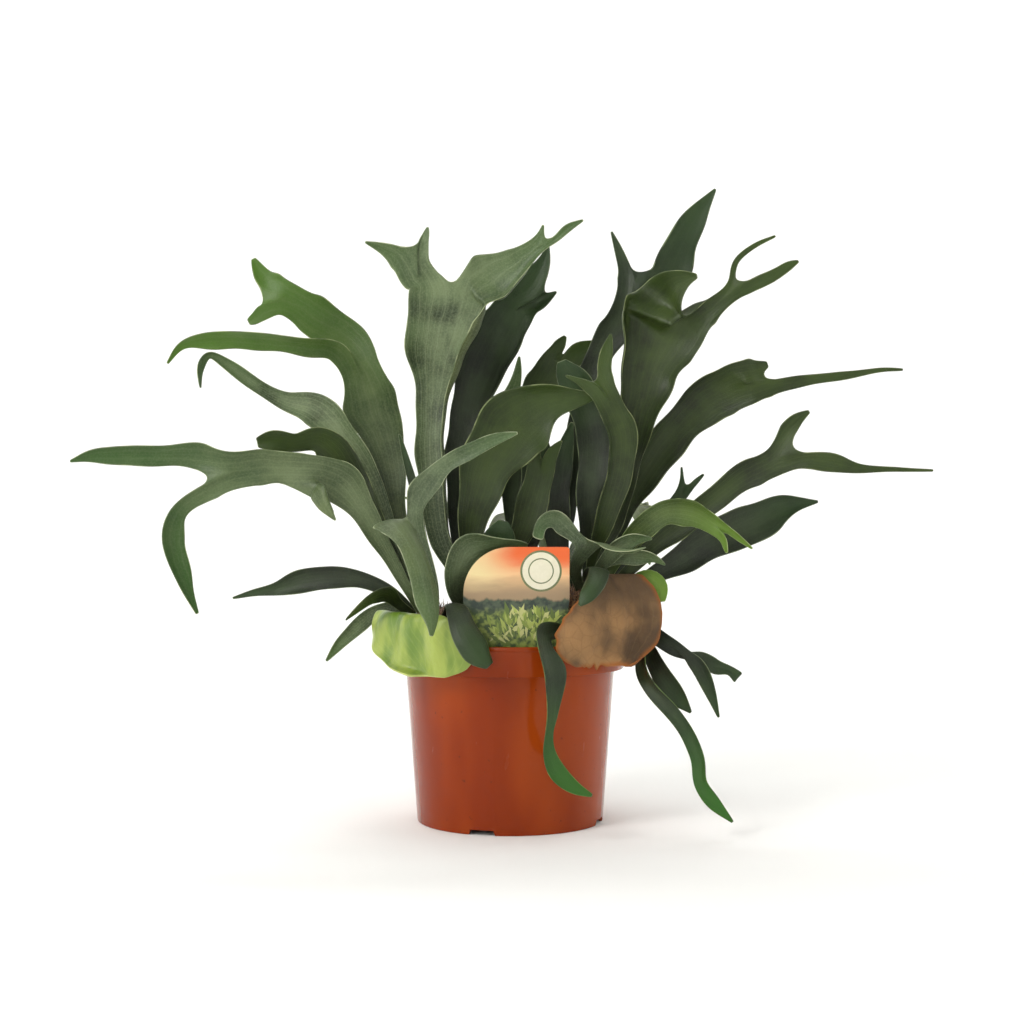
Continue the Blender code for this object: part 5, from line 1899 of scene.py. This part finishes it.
def back_fronds() -> dict[str, FrondSpec]:
    """List the fronds that grow on the back rhizome tip.

    Returns:
        The frond's name to its spec.
    """
    return {
        "frond_right_back": FrondSpec(Crown.BACK, Lobe([
            (34, 40, 200, 5), (44, 34, 238, 8), (50, 30, 284, 10), (60, 27, 334, 10.5),
            (75, 26, 382, 12.5), (97, 24, 414, 17)
        ], [
            Lobe([(95, 24, 446, 6.5), (90, 24, 465, 4), (84, 24, 482, 1)]),
            Lobe([
                (131, 22, 446, 17), (144, 22, 474, 14), (157, 22, 499, 8.5), (170, 22, 517, 1)
            ]),
        ], web=22.0), DARK),
        "frond_back_olive": FrondSpec(Crown.BACK, Lobe([
            (20, 50, 196, 5), (16, 56, 243, 7.5), (15, 58, 302, 13.5), (25, 58, 348, 19),
            (39, 58, 374, 20)
        ], [
            Lobe([(40, 58, 388, 7), (47, 58, 399, 1.5)]),
            Lobe([(61, 58, 385, 9), (76, 58, 394, 2)]),
        ]), OLIVE),
        "frond_back_under": FrondSpec(Crown.BACK, Lobe([
            (12, 26, 198, 4.5), (4, 18, 235, 7.5), (4, 10, 280, 13), (10, 4, 316, 17),
            (16, 2, 340, 15), (28, 0, 350, 5)
        ]), DARK),
        "frond_rear_left": FrondSpec(Crown.BACK, Lobe([
            (0, 58, 190, 5), (-22, 84, 222, 9), (-44, 108, 250, 14), (-66, 132, 262, 17)
        ], [
            Lobe([(-80, 160, 256, 11), (-86, 190, 238, 7), (-86, 212, 212, 1)]),
            Lobe([(-96, 138, 262, 9), (-114, 146, 255, 6), (-124, 150, 244, 1)]),
        ], cup=0.3), FELTY, face=(0.0, 0.0, 1.0), ruffle=1.2),
        "frond_rear_middle": FrondSpec(Crown.BACK, Lobe([
            (16, 68, 186, 5), (16, 98, 216, 9), (12, 130, 240, 14), (10, 158, 248, 18)
        ], [
            Lobe([(20, 186, 240, 10), (30, 212, 222, 6), (34, 230, 198, 1)]),
            Lobe([(-4, 186, 244, 9), (-14, 210, 236, 5), (-22, 230, 222, 1)]),
        ], cup=0.3), OLIVE, face=(0.0, 0.0, 1.0), ruffle=1.2),
        "frond_rear_right": FrondSpec(Crown.BACK, Lobe([
            (40, 60, 188, 5), (62, 84, 222, 9), (84, 106, 248, 13), (104, 126, 256, 17)
        ], [
            Lobe([(132, 134, 250, 9), (158, 140, 232, 6), (174, 144, 206, 1)]),
            Lobe([(116, 154, 250, 10), (126, 180, 230, 7), (130, 198, 200, 1)]),
        ], cup=0.3), FELTY, face=(0.0, 0.0, 1.0), ruffle=1.2),
        "frond_rear_upright": FrondSpec(Crown.BACK, Lobe([
            (16, 58, 204, 5), (8, 74, 244, 8), (-2, 86, 284, 12), (-12, 94, 318, 17)
        ], [
            Lobe([(-28, 98, 344, 10), (-40, 100, 366, 6), (-46, 100, 388, 1)]),
            Lobe([(-2, 98, 346, 9), (6, 102, 368, 5), (8, 104, 386, 1)]),
        ]), FELTY, face=(0.0, 1.0, 0.0), ruffle=1.2),
        "frond_rear_droop": FrondSpec(Crown.BACK, Lobe([
            (46, 66, 172, 5), (64, 88, 178, 8), (78, 104, 164, 11), (84, 112, 132, 12),
            (84, 112, 96, 7), (82, 110, 66, 1)
        ]), DARK, face=(0.0, 0.0, 1.0)),
    }


def shield_table() -> dict[str, ShieldSpec]:
    """List the shield fronds that drape over the rim.

    Returns:
        The shield's name to its spec.
    """
    return {
        "shield_frond_green": ShieldSpec(Crown.LEFT, [
            (64, 84, 163, 18), (60, 92, 169, 33), (56, 98, 170, 45), (52, 103, 160, 54),
            (48, 102, 148, 57), (44, 100, 137, 48), (40, 98.5, 128, 32), (37, 98, 123, 12)
        ], GREEN_SHIELD, flare=12.0, lumps=5.0, seed=2.0),
        "shield_frond_brown": ShieldSpec(Crown.RIGHT, [
            (-64, 80, 196, 9), (-63, 88, 200, 17), (-59, 95, 194, 27), (-53, 101, 180, 40),
            (-49, 103, 166, 48), (-46.5, 102.5, 153, 48), (-44, 100.5, 140, 39),
            (-43, 99, 130, 16.8)
        ], BROWN_SHIELD, flare=-20.0, lumps=6.0, torn=12.0, seed=4.0),
        "shield_frond_rear": ShieldSpec(Crown.BACK, [
            (-172, 74, 168, 16), (-178, 85, 174, 28), (-180, 95, 170, 37), (-180, 101, 158, 41),
            (-180, 101, 146, 38), (-180, 99.5, 136, 25), (-180, 98.5, 129, 9)
        ], BROWN_SHIELD, lumps=2.5, torn=5.0, seed=9.0),
    }


def frond_table() -> dict[str, FrondSpec]:
    """Every frond that the frame has a node for."""
    return {**left_fronds(), **middle_fronds(), **right_fronds(), **back_fronds()}


def small_frond_table() -> dict[str, FrondSpec]:
    """List the young fronds, which are too small for nodes of their own.

    Returns:
        The frond's name to its spec.
    """
    return {
        "frond_young_spike": FrondSpec(Crown.LEFT, Lobe([
            (-62, -34, 196, 2), (-70, -44, 236, 4), (-76, -48, 270, 4), (-84, -48, 300, 2),
            (-87, -48, 311, 0.8)
        ]), DARK),
        "frond_young_pair": FrondSpec(Crown.MIDDLE, Lobe([
            (-8, -20, 190, 4), (4, -24, 220, 9), (16, -28, 252, 13), (24, -30, 280, 13)
        ], [
            Lobe([(18, -32, 300, 6), (12, -34, 316, 1)]),
            Lobe([(34, -38, 297, 6), (41, -42, 306, 1)]),
        ]), OLIVE),
        "frond_young_dark": FrondSpec(Crown.MIDDLE, Lobe([
            (0, -4, 188, 5), (12, -2, 222, 11), (20, 0, 256, 15), (22, 0, 290, 14),
            (18, -5, 318, 8), (14, -9, 332, 1)
        ]), DARK),
        "frond_young_right": FrondSpec(Crown.RIGHT, Lobe([
            (44, -12, 200, 5), (38, -10, 226, 10), (36, -10, 252, 13), (40, -12, 280, 11),
            (46, -14, 306, 6), (50, -16, 322, 1)
        ]), DARK),
        "frond_young_broad": FrondSpec(Crown.RIGHT, Lobe([
            (72, -27, 206, 4), (86, -35, 214, 6), (100, -43, 216, 8), (113, -49, 214, 6),
            (122, -53, 208, 1)
        ]), GREYER, ruffle=2.0),
        "frond_young_cover": FrondSpec(Crown.RIGHT, Lobe([
            (62, -46, 203, 4), (66, -66, 207, 6), (68, -84, 205, 8), (64, -97, 196, 9),
            (57, -104, 185, 6), (52, -105, 179, 1)
        ], cup=-0.3), DARK, face=(0.0, 0.0, 1.0)),
    }


def main() -> None:
    """Build the pot, its fill, the plant and the studio, in order."""
    logging.basicConfig(level=logging.INFO, format="%(message)s")
    LOG.info("nursery pot: %s", NurseryPot().build().name)
    LOG.info("potting soil: %s", Soil().build().name)
    PlantLabel().build()
    LOG.info("plant label printed")
    scales = HairyScale().build()
    for crown in Crown:
        LOG.info("rhizome tip: %s", Rhizomes().build(crown, scales).name)
    plant = Plant()
    for name, spec in frond_table().items():
        LOG.info("frond: %s", plant.frond(name, spec).name)
    for name, spec in shield_table().items():
        LOG.info("shield frond: %s", plant.shield(name, spec).name)
    for name, spec in small_frond_table().items():
        LOG.info("young frond: %s", plant.frond(name, spec, False).name)
    Studio().build()


if __name__ == "__main__":
    main()
